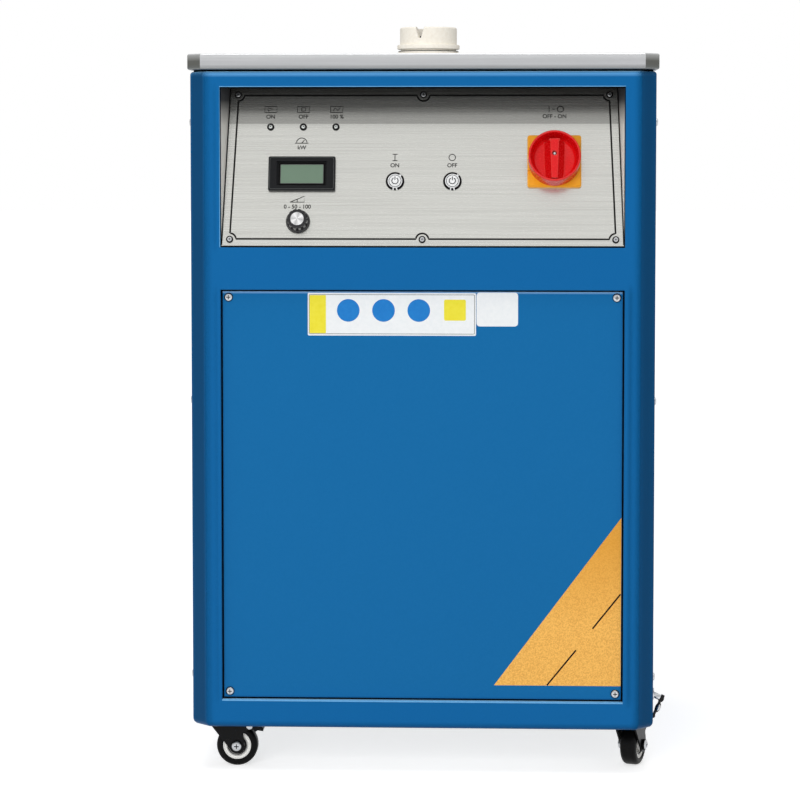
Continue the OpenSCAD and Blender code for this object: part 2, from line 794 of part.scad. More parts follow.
module cover_screws() color("#d9dadb") in_frame() {
    access_screws() pan_screw(cover_head_r, cover_head_h, cover_shank_r, 8);
    for (side = [-1, 1]) side_screws(side) pan_screw(cover_head_r, cover_head_h, cover_shank_r, 8);
    rear_screws() pan_screw(cover_head_r, cover_head_h, cover_shank_r, post_in + 4);
}

// Meter: bezel on the panel, box behind it, and the recess of its display
module meter_housing() color("#1b1c1e") in_frame() on_panel(meter_u, meter_v) {
    difference() {
        union() {
            linear_extrude(meter_proud - 1) round_rect(meter_w, meter_h, 2);
            translate([0, 0, meter_proud - 1]) linear_extrude(1)
                round_rect(meter_w - 2, meter_h - 2, 2);
            translate([0, 0, -24 - panel_t])
                linear_extrude(24 + panel_t) round_rect(meter_w - 4, meter_h - 3, 1);
        }
        translate([0, 0, 1.5]) linear_extrude(meter_proud)
            round_rect(meter_w - 2*meter_rim, meter_h - 2*(meter_rim - 4), 1);
    }
}

module meter_display() color("#84a188") in_frame() on_panel(meter_u, meter_v, 1.5)
    linear_extrude(0.8) round_rect(lcd_w, lcd_h, 0.5);

module lamp_places() {
    for (i = [-1:1]) on_panel(lamp_u + i*lamp_pitch, lamp_v) children();
}

lamp_deep = 12;

// Lamp bezel: flanged cup with a nut behind the panel, its lens standing on the cup's floor
module lamp_bezels() color("#d4d5d6") in_frame() lamp_places() difference() {
    union() {
        rotate_extrude() polygon([[0, -lamp_deep], [lamp_r - 1, -lamp_deep], [lamp_r - 1, 0],
            [lamp_r, 0], [lamp_r, 0.8], [lamp_r - 0.8, 1.8], [0, 1.8]]);
        translate([0, 0, -panel_t - 2.5]) cylinder(r = lamp_r + 1.5, h = 2.5, $fn = 6);
    }
    translate([0, 0, 1.5 - lamp_deep]) cylinder(r = lamp_lens_r + run_fit, h = 30);
}

module lamp_lenses() color("#e9efe9") in_frame() lamp_places() rotate_extrude()
    polygon(concat([[0, 1.5 - lamp_deep], [lamp_lens_r, 1.5 - lamp_deep]],
        arc(0, 0.4, lamp_lens_r, 0, 90, 5)));

button_deep = 26;
button_well = 8;
button_proud = 2.6;

// Metal barrels of the two push-buttons, each with its nut behind the panel
module button_barrels() color("#cfd1d2") in_frame() for (u = [start_u, stop_u])
    on_panel(u, button_v) difference() {
        union() {
            rotate_extrude() polygon([[0, -button_deep], [button_barrel_r, -button_deep],
                [button_barrel_r, 0], [button_r, 0], [button_r, 0.8], [button_r - 1.2, 2],
                [0, 2]]);
            translate([0, 0, -panel_t - 4]) cylinder(r = button_barrel_r + 3.5, h = 4, $fn = 6);
        }
        translate([0, 0, -button_well]) cylinder(r = button_head_r + 2*run_fit, h = 20);
    }

// Moving head, with a shallow ring round its middle
module button_head(u) {
    on_panel(u, button_v) difference() {
        translate([0, 0, button_travel + face_gap - button_well])
            cylinder(r = button_head_r, h = button_well + button_proud - button_travel - face_gap);
        translate([0, 0, button_proud - 0.3]) difference() {
            cylinder(r = button_head_r*0.72, h = 1);
            translate([0, 0, -1]) cylinder(r = button_head_r*0.6, h = 3);
        }
    }
}

module start_button() color("#dcdddd") in_frame() button_head(start_u);

module stop_button() color("#dcdddd") in_frame() button_head(stop_u);

pot_bush_r = 4.5;
pot_bush_h = 3;
pot_r = 12;
pot_deep = 14;

// Potentiometer: can behind the panel, bush through it and a nut in front
module potentiometer() color("#9aa0a3") in_frame() on_panel(knob_u, knob_v) {
    difference() {
        union() {
            translate([0, 0, -panel_t - pot_deep]) cylinder(r = pot_r, h = pot_deep);
            translate([0, 0, -panel_t]) cylinder(r = pot_bush_r, h = panel_t + pot_bush_h);
            cylinder(r = pot_bush_r + 2.2, h = 2, $fn = 6);
            translate([-8, -pot_r - 6, -panel_t - 8]) cube([16, 10, 3]);
        }
        translate([0, 0, -panel_t - pot_deep + 2]) cylinder(r = pot_shaft_r + run_fit, h = 40);
    }
}

module regulator_shaft() color("#b8b9ba") in_frame() on_panel(knob_u, knob_v)
    translate([0, 0, -panel_t - pot_deep + 2 + face_gap])
        cylinder(r = pot_shaft_r, h = knob_h - 2.5 + panel_t + pot_deep - 2 - face_gap);

// Knob: wide skirt, grooved grip, pocket for the cap, hollow over the nut
module regulator_knob() color("#17181a") in_frame() on_panel(knob_u, knob_v) {
    low = 2 + face_gap;
    difference() {
        rotate_extrude() polygon([[0, 0.6], [knob_r, 0.6], [knob_r, 2.2], [knob_r - 1, 4.4],
            [knob_grip_r + 0.6, 5], [knob_grip_r, knob_h - 1], [knob_grip_r - 1, knob_h], [0, knob_h]]);
        for (i = [0:knob_grooves - 1]) rotate([0, 0, i*360/knob_grooves])
            translate([knob_grip_r + 0.9, 0, 5]) cylinder(r = 1.8, h = knob_h, $fn = 24);
        cylinder(r = pot_bush_r + 2.2 + 2*face_gap, h = low + 1.2);
        cylinder(r = pot_shaft_r + run_fit, h = knob_h - 2.5);
        translate([0, 0, knob_h - 1]) cylinder(r = cap_r + run_fit, h = 2);
        translate([-0.4, knob_grip_r - 2.4, knob_h - 1.2]) cube([0.8, 4, 2]);
    }
}

// Spun aluminium disc let into the knob's face
module knob_cap() color("#dfe0e1") in_frame() on_panel(knob_u, knob_v, knob_h - 1)
    rotate_extrude() polygon([[0, 0], [cap_r, 0], [cap_r, 1.2], [cap_r - 0.4, 1.6], [0, 1.6]]);

switch_neck_r = 6;
switch_shaft_r = 5;

// Square plate with the padlock notches in its left edge
module switch_plate() color("#f0a818") in_frame() on_panel(switch_u, switch_v) {
    difference() {
        union() {
            linear_extrude(plate_proud - 1.5) round_rect(plate_side, plate_side, 3);
            translate([0, 0, plate_proud - 1.5]) linear_extrude(1.5)
                round_rect(plate_side - 2.4, plate_side - 2.4, 2.4);
        }
        translate([0, 0, -1]) cylinder(r = switch_neck_r + hole_gap, h = plate_proud + 2);
        for (v = [-14, 0, 14]) translate([-plate_side/2 - 1, v - 2.5, 1.5])
            cube([4.5, 5, plate_proud]);
    }
}

// Isolator behind the panel, with terminals on both sides and a bored neck
module switch_body() color("#2a2c2f") in_frame() on_panel(switch_u, switch_v) {
    difference() {
        union() {
            translate([-24, -24, -panel_t - 46]) cube([48, 48, 46]);
            for (side = [-1, 1]) for (k = [-1:1])
                translate([side*26 - 4, k*15 - 4, -panel_t - 40]) cube([8, 8, 30]);
            translate([0, 0, -panel_t]) cylinder(r = switch_neck_r, h = panel_t + plate_proud - 1);
        }
        translate([0, 0, -panel_t - 30]) cylinder(r = switch_shaft_r + run_fit, h = 60);
    }
}

// Rotary handle: dished rim, tapered bar grip, screw hole and shaft
module switch_handle() color("#d01818") in_frame()
    on_panel(switch_u, switch_v, plate_proud + face_gap) {
    dish_r = dial_r - dial_wall;
    difference() {
        union() {
            rotate_extrude() polygon([[0, 0], [dial_r, 0], [dial_r, dial_h - 1], [dial_r - 0.8, dial_h],
                [dish_r + 0.6, dial_h], [dish_r, dial_h - 0.8], [dish_r - 2.5, 8], [dish_r - 5, 6],
                [12, 4.5], [0, 4]]);
            intersection() {
                grip_bar();
                cylinder(r = dish_r - 1.2, h = grip_h + 1);
            }
            translate([0, 0, -plate_proud - panel_t - 20])
                cylinder(r = switch_shaft_r, h = plate_proud + panel_t + 22);
        }
        translate([0, 3, grip_h - 3]) cylinder(r = 3, h = 10);
    }
}

// Bar grip: a cross head on a tapering face, with flanks sloping into the dish
module grip_bar() {
    top = dial_r - 10.5;
    low = dial_wall + 1 - dial_r;
    lean = atan((grip_wide - grip_narrow)/2/(top - low));
    difference() {
        translate([-dial_r, low, 3]) cube([2*dial_r, top - low, grip_h - 3]);
        for (side = [-1, 1]) scale([side, 1, 1]) translate([grip_narrow/2, low, grip_h])
            rotate([0, 0, -lean]) rotate([0, -20, 0]) translate([0, -20, -60]) cube([90, 120, 120]);
    }
    translate([-grip_wide/2 - 1, top - 2, 3]) cube([grip_wide + 2, 2, grip_h - 3]);
}

module mouth_collar() color("#efe9dc") in_frame() translate([0, mouth_y, plate_top])
    rotate_extrude() polygon([[sleeve_r + 2*face_gap, -collar_seat], [collar_r, -collar_seat],
        [collar_r, collar_h - 1.5], [collar_r - 1.5, collar_h], [sleeve_r + 2*face_gap, collar_h]]);

// Ceramic sleeve: cup with a floor, a flange above the collar, an upper ring and a spout
module ceramic_sleeve() color("#f4ecdf") in_frame() translate([0, mouth_y, 0]) {
    flange_z = plate_top + collar_h + 2.5;
    difference() {
        rotate_extrude() polygon([[0, shelf_top], [sleeve_r, shelf_top], [sleeve_r, flange_z],
            [sleeve_flange_r - 0.8, flange_z], [sleeve_flange_r, flange_z + 0.8],
            [sleeve_flange_r, flange_z + 4.7], [sleeve_flange_r - 0.8, flange_z + 5.5],
            [ring_r, flange_z + 5.5], [ring_r, sleeve_top - 1.5], [ring_r - 1.5, sleeve_top],
            [sleeve_bore_r, sleeve_top], [sleeve_bore_r, crucible_z], [0, crucible_z]]);
        rotate([0, 0, -106]) translate([0, 0, sleeve_top - spout_deep]) rotate([90, 0, 90])
            linear_extrude(ring_r + 5) polygon([[-1.5, 0], [1.5, 0], [6, spout_deep + 1],
                [-6, spout_deep + 1]]);
    }
}

module graphite_crucible() color("#3b3c3f") in_frame() translate([0, mouth_y, crucible_z])
    rotate_extrude() polygon([[0, 0], [crucible_r - 3, 0], [crucible_r, 12],
        [crucible_r, crucible_h - 1], [crucible_r - 1, crucible_h],
        [crucible_r - crucible_wall, crucible_h], [crucible_r - crucible_wall, 16],
        [crucible_r - crucible_wall - 4, 10], [0, 8]]);

stud_r = 4;
comb_t = 6;
stud_at = shelf_side/2 - 12;

module shelf_studs(r, z, h) {
    for (x = [-stud_at, stud_at]) for (y = [-stud_at, stud_at])
        translate([x, mouth_y + y, z]) cylinder(r = r, h = h);
}

// Insulating shelf hung from the lid, with three combs that hold the coil's turns apart
module coil_shelf() color("#b88a52") in_frame() {
    comb_h = coil_pitch*floor(coil_turns) + coil_tube_d + 4;
    translate([-shelf_side/2, mouth_y - shelf_side/2, shelf_top - shelf_t])
        cube([shelf_side, shelf_side, shelf_t]);
    shelf_studs(stud_r, shelf_top - shelf_t, plate_top - sheet_t - shelf_top + shelf_t);
    for (angle = [90, 210, 330]) difference() {
        translate([0, mouth_y, shelf_top - 0.5]) rotate([0, 0, angle])
            translate([coil_r - coil_tube_d/2 - 3, -comb_t/2, 0])
                cube([coil_tube_d + 10, comb_t, comb_h + 0.5]);
        for (k = [1:floor(coil_turns + angle/360)]) translate([0, mouth_y, coil_z(k - angle/360)])
            rotate([0, 0, angle]) translate([coil_r, 0, 0]) rotate([90, 0, 0])
                cylinder(r = coil_tube_d/2 + 0.4, h = comb_t + 2, center = true);
    }
}

// The coil climbs clockwise; its height after so many turns
function coil_z(turns) = coil_low + coil_pitch*turns;
coil_steps = 24;
coil_sides = 6;
coil_rings = coil_turns*coil_steps;
function coil_point(i) = [coil_r*cos(-360*i/coil_steps), coil_r*sin(-360*i/coil_steps),
    coil_z(i/coil_steps)];
coil_path = concat([coil_point(0) + [0, coil_lead, 0]], [for (i = [0:coil_rings]) coil_point(i)],
    [coil_point(coil_rings) + [0, coil_lead, 0]]);

// Copper tube wound round the sleeve in one length, both leads to the rear
module induction_coil() color("#b8692f") in_frame() translate([0, mouth_y, 0])
    tube(coil_path, coil_tube_d/2, coil_sides);

coil_gaps = [for (i = [1:len(coil_path) - 2]) for (j = [i + coil_steps/2:len(coil_path) - 2])
    norm(coil_path[i] - coil_path[j])];
echo(coil_least_gap_mm = min(coil_gaps) - coil_tube_d);

function unit(v) = v/norm(v);
function heading(path, i) = i == 0 ? unit(path[1] - path[0])
    : i == len(path) - 1 ? unit(path[i] - path[i - 1]) : unit(path[i + 1] - path[i - 1]);
// Side vector of each ring, carried along the path so that the tube doesn't twist
function carry(path, side, i) = unit(side - heading(path, i)*(side*heading(path, i)));
function sides(path, i = 0, side = [0.3, 0.1, 1]) = i == len(path) ? []
    : let (next = carry(path, side, i)) concat([next], sides(path, i + 1, next));

// Tube of round section swept along a path of points
module tube(path, r, n) {
    last = len(path) - 1;
    way = sides(path);
    points = [for (i = [0:last]) for (k = [0:n - 1])
        path[i] + r*(way[i]*cos(360*k/n) + cross(heading(path, i), way[i])*sin(360*k/n))];
    walls = [for (i = [0:last - 1]) for (k = [0:n - 1]) let (a = i*n + k, b = i*n + (k + 1) % n)
        each [[a, a + n, b], [b, a + n, b + n]]];
    lids = [for (k = [1:n - 2]) each [[0, k, k + 1], [last*n, last*n + k + 1, last*n + k]]];
    polyhedron(points, concat(walls, lids), convexity = 10);
}

// Smooth path through chosen points, the ends leading straight in and out
function blend_point(p, q, r, s, t) = 0.5*((2*q) + (r - p)*t + (2*p - 5*q + 4*r - s)*t*t
    + (3*q - p - 3*r + s)*t*t*t);
function smooth(pts, n) = let (ext = concat([2*pts[0] - pts[1]], pts,
    [2*pts[len(pts) - 1] - pts[len(pts) - 2]])) concat([for (i = [1:len(pts) - 1])
    for (k = [0:n - 1]) blend_point(ext[i - 1], ext[i], ext[i + 1], ext[i + 2], k/n)],
    [pts[len(pts) - 1]]);

// Laminated core with two windings and their terminal strip
module transformer() color("#5c5348") in_frame()
    translate([core_in - body_w/2, core_y, tray_top]) {
    difference() {
        cube([core_w, core_d, core_h]);
        for (x = [0.18, 0.58]) translate([core_w*x, -1, core_h/5])
            cube([core_w*0.235, core_d + 2, core_h*0.6]);
    }
    for (x = [0.033, 0.617]) translate([core_w*x, -winding_out, core_h*0.24]) difference() {
        cube([core_w*0.35, core_d + 2*winding_out, core_h*0.53]);
        translate([core_w*0.16, winding_out - 0.5, -1]) cube([core_w*0.033, core_d + 1, core_h]);
    }
    translate([core_w/6, core_d/6, core_h]) cube([core_w*0.67, core_d*0.37, core_h/11]);
}

// Film capacitors between two copper bars, on a frame
module capacitor_bank() color("#c9a24a") in_frame() 
    translate([sink_x - 18, sink_y + sink_d + port_out + bank_back, tray_top]) {
    cube([bank_w, bank_d, 6]);
    for (i = [-1:1]) translate([bank_w/2 + (2*film_r + 5)*i, bank_d/2, 6])
        cylinder(r = film_r, h = film_h);
    for (side = [-1, 1]) translate([12, bank_d/2 + film_r/2*side - 3, film_h + 6])
        cube([bank_w - 24, 6, 14]);
}

sink_x = body_w/2 - sink_gap - sink_w;
bank_back = 88;
port_out = 10;
port_z = tray_top + 24;

// Water-cooled heatsink with fins, three power modules on it and its hose ports
module inverter() color("#a9adb0") in_frame() translate([sink_x, sink_y, tray_top]) {
    cube([sink_w, sink_d, sink_h]);
    for (i = [0:fin_count - 1]) translate([4 + i*(sink_w - 10)/(fin_count - 1), 0, sink_h])
        cube([2.5, sink_d, fin_h]);
    for (i = [0:2]) translate([12 + (sink_w - 10)/3*i, sink_d/6, sink_h + fin_h])
        cube([sink_w*0.225, sink_d*2/3, 18]);
    for (x = [14, sink_w - 22]) translate([x, sink_d, 24]) rotate([-90, 0, 0])
        cylinder(r = 4.5, h = port_out);
    translate([sink_w - 30, 0, 24]) rotate([90, 0, 0]) cylinder(r = 4, h = port_out);
}

// Control board on standoffs from the left rail
module control_board() color("#1f6a3c") in_frame()
    translate([chassis_t - inner_w/2, board_y, tray_top + board_rail_z + 30]) {
    translate([14, 0, -board_h/2]) cube([1.6, board_l, board_h]);
    for (y = [12, board_l - 12]) for (z = [-20, 20]) translate([0, y, z]) rotate([0, 90, 0])
        cylinder(r = 3.5, h = 14);
    for (k = [0:3]) translate([15.6, board_l*(0.074 + 0.22*k), -board_h*0.4])
        cube([10 + 3*k, board_l*0.137, board_h*0.28]);
    for (k = [0:4]) translate([15.6, board_l*(0.116 + 0.18*k), board_h/10]) rotate([0, 90, 0])
        cylinder(r = board_h/15, h = 18);
    translate([15.6, board_l/9.5, board_h/3]) cube([12, board_l*0.79, board_h/10]);
}

// Places where the hoses meet the ports, spigots, coil leads and drain cock
lead_y = mouth_y + coil_lead;
butt = 0.2;
rear_tail_y = body_d - 34;
sink_port_y = sink_y + sink_d + port_out;
water_z = tray_top + spigot_up;
coil_top = coil_z(coil_turns);
drain_tail_x = body_w/2 - 22;
drain_lead = 7;
drain_turn = 31;
drain_bend_y = sink_y - port_out - drain_lead;
drain_port_x = sink_x + sink_w - 30;
// Room for the coil hoses to bend in front of the fan
coil_turn = body_d - sheet_t - fan_d - hose_r - 16 - lead_y - 20;
bend_y = lead_y + 20 + coil_turn;
HOSES = [
    [[inlet_x, rear_tail_y - butt, water_z], [inlet_x, rear_tail_y - 40, water_z],
        [inlet_x + 15, rear_tail_y - 85, water_z - 20],
        [outlet_x, sink_port_y + 93, water_z - 41], [-30, sink_port_y + 78, port_z + 8],
        [sink_x - 38, sink_port_y + 67, port_z + 2], [sink_x - 1, sink_port_y + 52, port_z],
        [sink_x + 14, sink_port_y + 15, port_z],
        [sink_x + 14, sink_port_y + butt, port_z]],
    [[sink_x + sink_w - 22, sink_port_y + butt, port_z],
        [sink_x + sink_w - 22, sink_port_y + 16, port_z],
        [sink_x + 136, sink_port_y + 43, port_z + 16], [sink_x + 130, sink_port_y + 59, port_z + 54],
        [sink_x + 112, sink_port_y + 71, port_z + 134], [sink_x + 42, bend_y - 62, 440],
        [sink_x - 8, bend_y - 20, 610], [coil_r + 4, bend_y, coil_low - coil_turn],
        [coil_r + 1, lead_y + 20 + coil_turn*0.7, coil_low - coil_turn*0.3],
        [coil_r, lead_y + 20, coil_low], [coil_r, lead_y + butt, coil_low]],
    [[-coil_r, lead_y + butt, coil_top], [-coil_r, lead_y + 20, coil_top],
        [-coil_r - 3, lead_y + 20 + coil_turn*0.7, coil_top - coil_turn*0.3],
        [-55, bend_y - 4, coil_top - coil_turn], [-75, bend_y, 690], [-100, bend_y - 2, 560],
        [outlet_x + 2, bend_y - 14, 380], [outlet_x, bend_y - 26, 270],
        [outlet_x, bend_y - 26, water_z + 52], [outlet_x, bend_y - 10, water_z + 14],
        [outlet_x, rear_tail_y - 12, water_z], [outlet_x, rear_tail_y - butt, water_z]],
    [[drain_tail_x - butt, drain_y, drain_z],
        [drain_port_x + drain_turn + drain_lead, drain_y, drain_z],
        [drain_port_x + drain_turn*(1 - sin(30)), drain_bend_y - drain_turn*cos(30), port_z - 1],
        [drain_port_x + drain_turn*(1 - sin(60)), drain_bend_y - drain_turn*cos(60), port_z],
        [drain_port_x, drain_bend_y, port_z], [drain_port_x, sink_y - port_out - butt, port_z]]];

// The first and last bits of a hose run square to its port
function squared(path, pts) = let (last = len(pts) - 1, a = pts[0], b = pts[last]) concat(
    [a, a + 2*unit(pts[1] - a)], [for (k = [1:len(path) - 2]) path[k]],
    [b + 2*unit(pts[last - 1] - b), b]);

module cooling_hoses() color("#3b5f9b") in_frame() for (i = [0:3])
    tube(squared(smooth(HOSES[i], 3), HOSES[i]), i == 3 ? drain_hose_r : hose_r, 8);

fan_shaft_r = 3;
fan_bore_r = fan_side/2 - 3;

// Fan frame on the rear panel: round duct, four arms and a bored motor cup
module fan_frame() color("#22242a") in_frame()
    translate([fan_x, body_d - sheet_t, tray_top + fan_up]) rotate([90, 0, 0]) {
    difference() {
        linear_extrude(fan_d) round_rect(fan_side, fan_side, 6);
        translate([0, 0, -1]) cylinder(r = fan_bore_r, h = fan_d + 2);
    }
    difference() {
        union() {
            translate([0, 0, fan_d - 9]) cylinder(r = 21, h = 9);
            for (a = [0:90:270]) rotate([0, 0, a + 45]) translate([18, -4, fan_d - 5])
                cube([fan_bore_r - 16, 8, 5]);
        }
        translate([0, 0, fan_d - 12]) cylinder(r = fan_shaft_r + run_fit, h = 20);
    }
}

// Rotor: hub cup with pitched blades and a stub shaft in the motor cup
module fan_rotor() color("#30333a") in_frame()
    translate([fan_x, body_d - sheet_t, tray_top + fan_up]) rotate([90, 0, 0]) {
    hub_h = fan_d - 14;
    translate([0, 0, 4]) cylinder(r = 20, h = hub_h);
    translate([0, 0, 4]) cylinder(r = fan_shaft_r, h = fan_d - 5);
    intersection() {
        for (i = [0:fan_blades - 1]) rotate([0, 0, i*360/fan_blades])
            translate([16, 0, 4 + hub_h/2]) rotate([32, 0, 0])
                translate([0, -1, -15]) cube([fan_bore_r, 2, 30]);
        translate([0, 0, 4]) difference() {
            cylinder(r = fan_bore_r - 1.5, h = hub_h);
            translate([0, 0, -1]) cylinder(r = 19, h = hub_h + 2);
        }
    }
}

// Tube on the side panel, sloping down; local z runs out of the cabinet
module on_drain() {
    translate([body_w/2, drain_y, drain_z]) rotate([0, 90 + drain_slope, 0]) children();
}

// Rear spigots with their nuts, and the drain cock's nut, tube and tail
module water_fittings() color("#cdd0d2") in_frame() {
    for (x = [inlet_x, outlet_x]) translate([x, body_d, water_z]) rotate([-90, 0, 0]) {
        cylinder(r = 14, h = 6, $fn = 6);
        cylinder(r = spigot_r, h = spigot_l - 1);
        translate([0, 0, spigot_l - 1]) cylinder(r1 = spigot_r, r2 = spigot_r - 1, h = 1);
        translate([0, 0, -sheet_t - 1]) cylinder(r = spigot_r + 2, h = sheet_t + 2);
        translate([0, 0, -sheet_t - 5]) cylinder(r = 13, h = 5, $fn = 6);
        translate([0, 0, rear_tail_y - body_d]) cylinder(r = spigot_r, h = 30);
    }
    difference() {
        union() {
            intersection() {
                on_drain() translate([0, 0, -6]) cylinder(r = drain_tube_r, h = drain_out + 6);
                translate([body_w/2, 0, 0]) cube([60, body_d, body_h]);
            }
            translate([body_w/2, drain_y, drain_z]) rotate([0, 90, 0]) cylinder(r = 7.5, h = 2.5, $fn = 6);
            translate([drain_tail_x, drain_y, drain_z]) rotate([0, 90, 0])
                cylinder(r = drain_tube_r, h = 22);
            translate([inner_w/2 - 5, drain_y, drain_z]) rotate([0, 90, 0])
                cylinder(r = 7.5, h = 5, $fn = 6);
        }
        on_drain() translate([0, 0, drain_out - 5]) cylinder(r = 1.8 + run_fit, h = 10);
    }
}

// Plastic lever on the drain tube's end, hanging down and back to the panel
module drain_lever() color("#141516") in_frame() on_drain() {
    translate([0, 0, drain_out + face_gap]) cylinder(r = drain_hub_r, h = drain_run - drain_out - face_gap);
    translate([0, 0, drain_out - 4.5]) cylinder(r = 1.8, h = 5);
    translate([0, 0, drain_out + face_gap]) linear_extrude(2.6) polygon([[0, -drain_hub_r],
        [drain_lever_l*0.4, -2.6], [drain_lever_l - 3, -3.2], [drain_lever_l, -1.6],
        [drain_lever_l, 1.6], [drain_lever_l - 3, 3.2], [drain_lever_l*0.4, 2.6], [0, drain_hub_r]]);
}

gland_thread_r = 11;

// Cable gland: nut inside, hexagon outside and a domed clamping cap, bored through
module cable_gland() color("#202224") in_frame() translate([gland_x, body_d, water_z])
    rotate([-90, 0, 0]) difference() {
        union() {
            cylinder(r = 15, h = 6, $fn = 6);
            translate([0, 0, 6]) rotate_extrude() polygon(concat([[0, 0], [13, 0], [13, 10]],
                arc(8, 10, 5, 0, 90, 4), [[0, 15]]));
            translate([0, 0, -sheet_t - 8]) cylinder(r = gland_thread_r, h = sheet_t + 9);
            translate([0, 0, -sheet_t - 5]) cylinder(r = 15, h = 5, $fn = 6);
        }
        translate([0, 0, -20]) cylinder(r = gland_bore_r, h = 60);
    }

// Swivel axes: each place is side, end and the direction in which the caster trails
module caster_at(place) {
    translate([place[0]*caster_x, place[1] == 0 ? caster_in : body_d - caster_in, 0])
        rotate([0, 0, place[2]]) children();
}

module casters() {
    for (place = [FRONT_LEFT, FRONT_RIGHT, REAR_LEFT, REAR_RIGHT])
        translate([place[0]*caster_x, place[1] == 0 ? caster_in : body_d - caster_in, 0])
            children();
}

bolt_r = 3;
bolt_x = mount_w/2 - 6;
bolt_y = mount_d/2 - 6;

module mount_bolts(z, h, r, n = 64) {
    for (x = [-bolt_x, bolt_x]) for (y = [-bolt_y, bolt_y])
        translate([x, y, z]) cylinder(r = r, h = h, $fn = n);
}

// Mounting plates under the tray: bolts, swivel bowl and king pin in one piece each
module caster_plates() color("#3c3e42") in_frame() casters() {
    translate([0, 0, caster_h - mount_t]) linear_extrude(mount_t) round_rect(mount_w, mount_d, 5);
    mount_bolts(caster_h - 1, chassis_t + 6, bolt_r);
    mount_bolts(tray_top, 3.5, bolt_r + 2.5, 6);
    rotate_extrude() polygon([[0, head_low - 2.6], [6, head_low - 2.6], [7.5, head_low - 1.6],
        [7.5, head_low - face_gap], [pin_r, head_low - face_gap], [pin_r, bowl_low],
        [swivel_r - 2, bowl_low], [swivel_r + 2, caster_h - mount_t - 1.5],
        [swivel_r + 2, caster_h - 1], [0, caster_h - 1]]);
}

// Fork: swivel head and two tapered cheeks, with ears for the brake on the front pair
module fork(place, braked) {
    caster_at(place) difference() {
        union() {
            translate([0, 0, head_low]) cylinder(r = swivel_r, h = head_top - head_low);
            for (side = [-1, 1]) translate([0, side > 0 ? fork_half + fork_t : -fork_half, 0])
                rotate([90, 0, 0]) linear_extrude(fork_t) {
                    polygon([[-13, head_top - 1], [-13, head_low - 2], [caster_trail - 9, wheel_r - 3],
                        [caster_trail + 9, wheel_r - 1], [caster_trail + 7, head_low - 7],
                        [13, body_low - 0.7], [13, head_top - 1]]);
                    translate([caster_trail, wheel_r]) circle(r = 9);
                    if (braked) polygon([[8, head_low - 3.5], [ear_x, ear_z + 4],
                        [ear_x + 4, ear_z], [ear_x, ear_z - 4], [caster_trail, ear_z - 14]]);
                    if (braked) translate([ear_x, ear_z]) circle(r = 4);
                }
        }
        translate([0, 0, head_low - 5]) cylinder(r = pin_r + run_fit, h = 20);
        translate([caster_trail, 0, wheel_r]) rotate([90, 0, 0])
            cylinder(r = axle_r + run_fit, h = 60, center = true);
        translate([ear_x, 0, ear_z]) rotate([90, 0, 0])
            cylinder(r = 2 + run_fit, h = 60, center = true);
    }
}

module at_axle(place) caster_at(place) translate([caster_trail, 0, wheel_r]) rotate([90, 0, 0])
    children();

// Tyre: rounded tread on the hub
module tyre(place) at_axle(place) rotate_extrude($fn = 96) {
    half = tyre_w/2;
    polygon(concat([[hub_r, -half + 1.5], [wheel_r - 7, -half]],
        arc(wheel_r - 5, 5 - half, 5, -90, 0), arc(wheel_r - 5, half - 5, 5, 0, 90),
        [[wheel_r - 7, half], [hub_r, half - 1.5]]));
}

// Hub: grooved disc on both faces, bored for the axle
module hub(place) at_axle(place) rotate_extrude($fn = 96) {
    half = tyre_w/2 - 1.5;
    bore = axle_r + run_fit;
    polygon([[bore, -fork_half + 0.4], [axle_r + 3, -fork_half + 0.4], [axle_r + 3, 3 - half],
        [hub_r - 6, 3 - half], [hub_r - 5, -half], [hub_r - 3.5, -half], [hub_r - 3, 1.2 - half],
        [hub_r - 1.8, 1.2 - half], [hub_r - 1.3, -half], [hub_r, -half], [hub_r, half],
        [hub_r - 1.3, half], [hub_r - 1.8, half - 1.2], [hub_r - 3, half - 1.2],
        [hub_r - 3.5, half], [hub_r - 5, half], [hub_r - 6, half - 3], [axle_r + 3, half - 3],
        [axle_r + 3, fork_half - 0.4], [bore, fork_half - 0.4]]);
}

// Axle bolt with a domed head on one side and a nut on the other
module axle(place) at_axle(place) {
    face = fork_half + fork_t;
    cylinder(r = axle_r, h = 2*face + 6, center = true);
    translate([0, 0, face]) rotate_extrude() polygon(concat([[0, 0], [6.5, 0]],
        arc(2.5, 0.5, 4, 0, 90, 5), [[0, 4.5]]));
    translate([0, 0, -face - 4]) cylinder(r = 7, h = 4, $fn = 6);
}

// Brake pedal between the fork's ears, over the tyre
module brake(place) caster_at(place) translate([ear_x, 0, ear_z]) rotate([90, 0, 0]) {
    cylinder(r = 2, h = 2*fork_half + 2*fork_t, center = true);
    linear_extrude(2*fork_half - 0.8, center = true) {
        circle(r = 3);
        polygon([[-1, 2.9], [4, 3.2], [13, 0.4], [17, -3], [16.4, -6.4], [13.5, -6], [10, -5.4],
            [7, -7.4], [2.5, -2]]);
    }
}

module front_left_fork() color("#1c1d1f") in_frame() fork(FRONT_LEFT, true);
module front_left_tyre() color("#141415") in_frame() tyre(FRONT_LEFT);
module front_left_hub() color("#d8d6c8") in_frame() hub(FRONT_LEFT);
module front_left_axle() color("#d0d2d4") in_frame() axle(FRONT_LEFT);
module front_left_brake() color("#17181a") in_frame() brake(FRONT_LEFT);
module front_right_fork() color("#1c1d1f") in_frame() fork(FRONT_RIGHT, true);
module front_right_tyre() color("#141415") in_frame() tyre(FRONT_RIGHT);
module front_right_hub() color("#d8d6c8") in_frame() hub(FRONT_RIGHT);
module front_right_axle() color("#d0d2d4") in_frame() axle(FRONT_RIGHT);
module front_right_brake() color("#17181a") in_frame() brake(FRONT_RIGHT);
module rear_left_fork() color("#1c1d1f") in_frame() fork(REAR_LEFT, false);
module rear_left_tyre() color("#141415") in_frame() tyre(REAR_LEFT);
module rear_left_hub() color("#d8d6c8") in_frame() hub(REAR_LEFT);
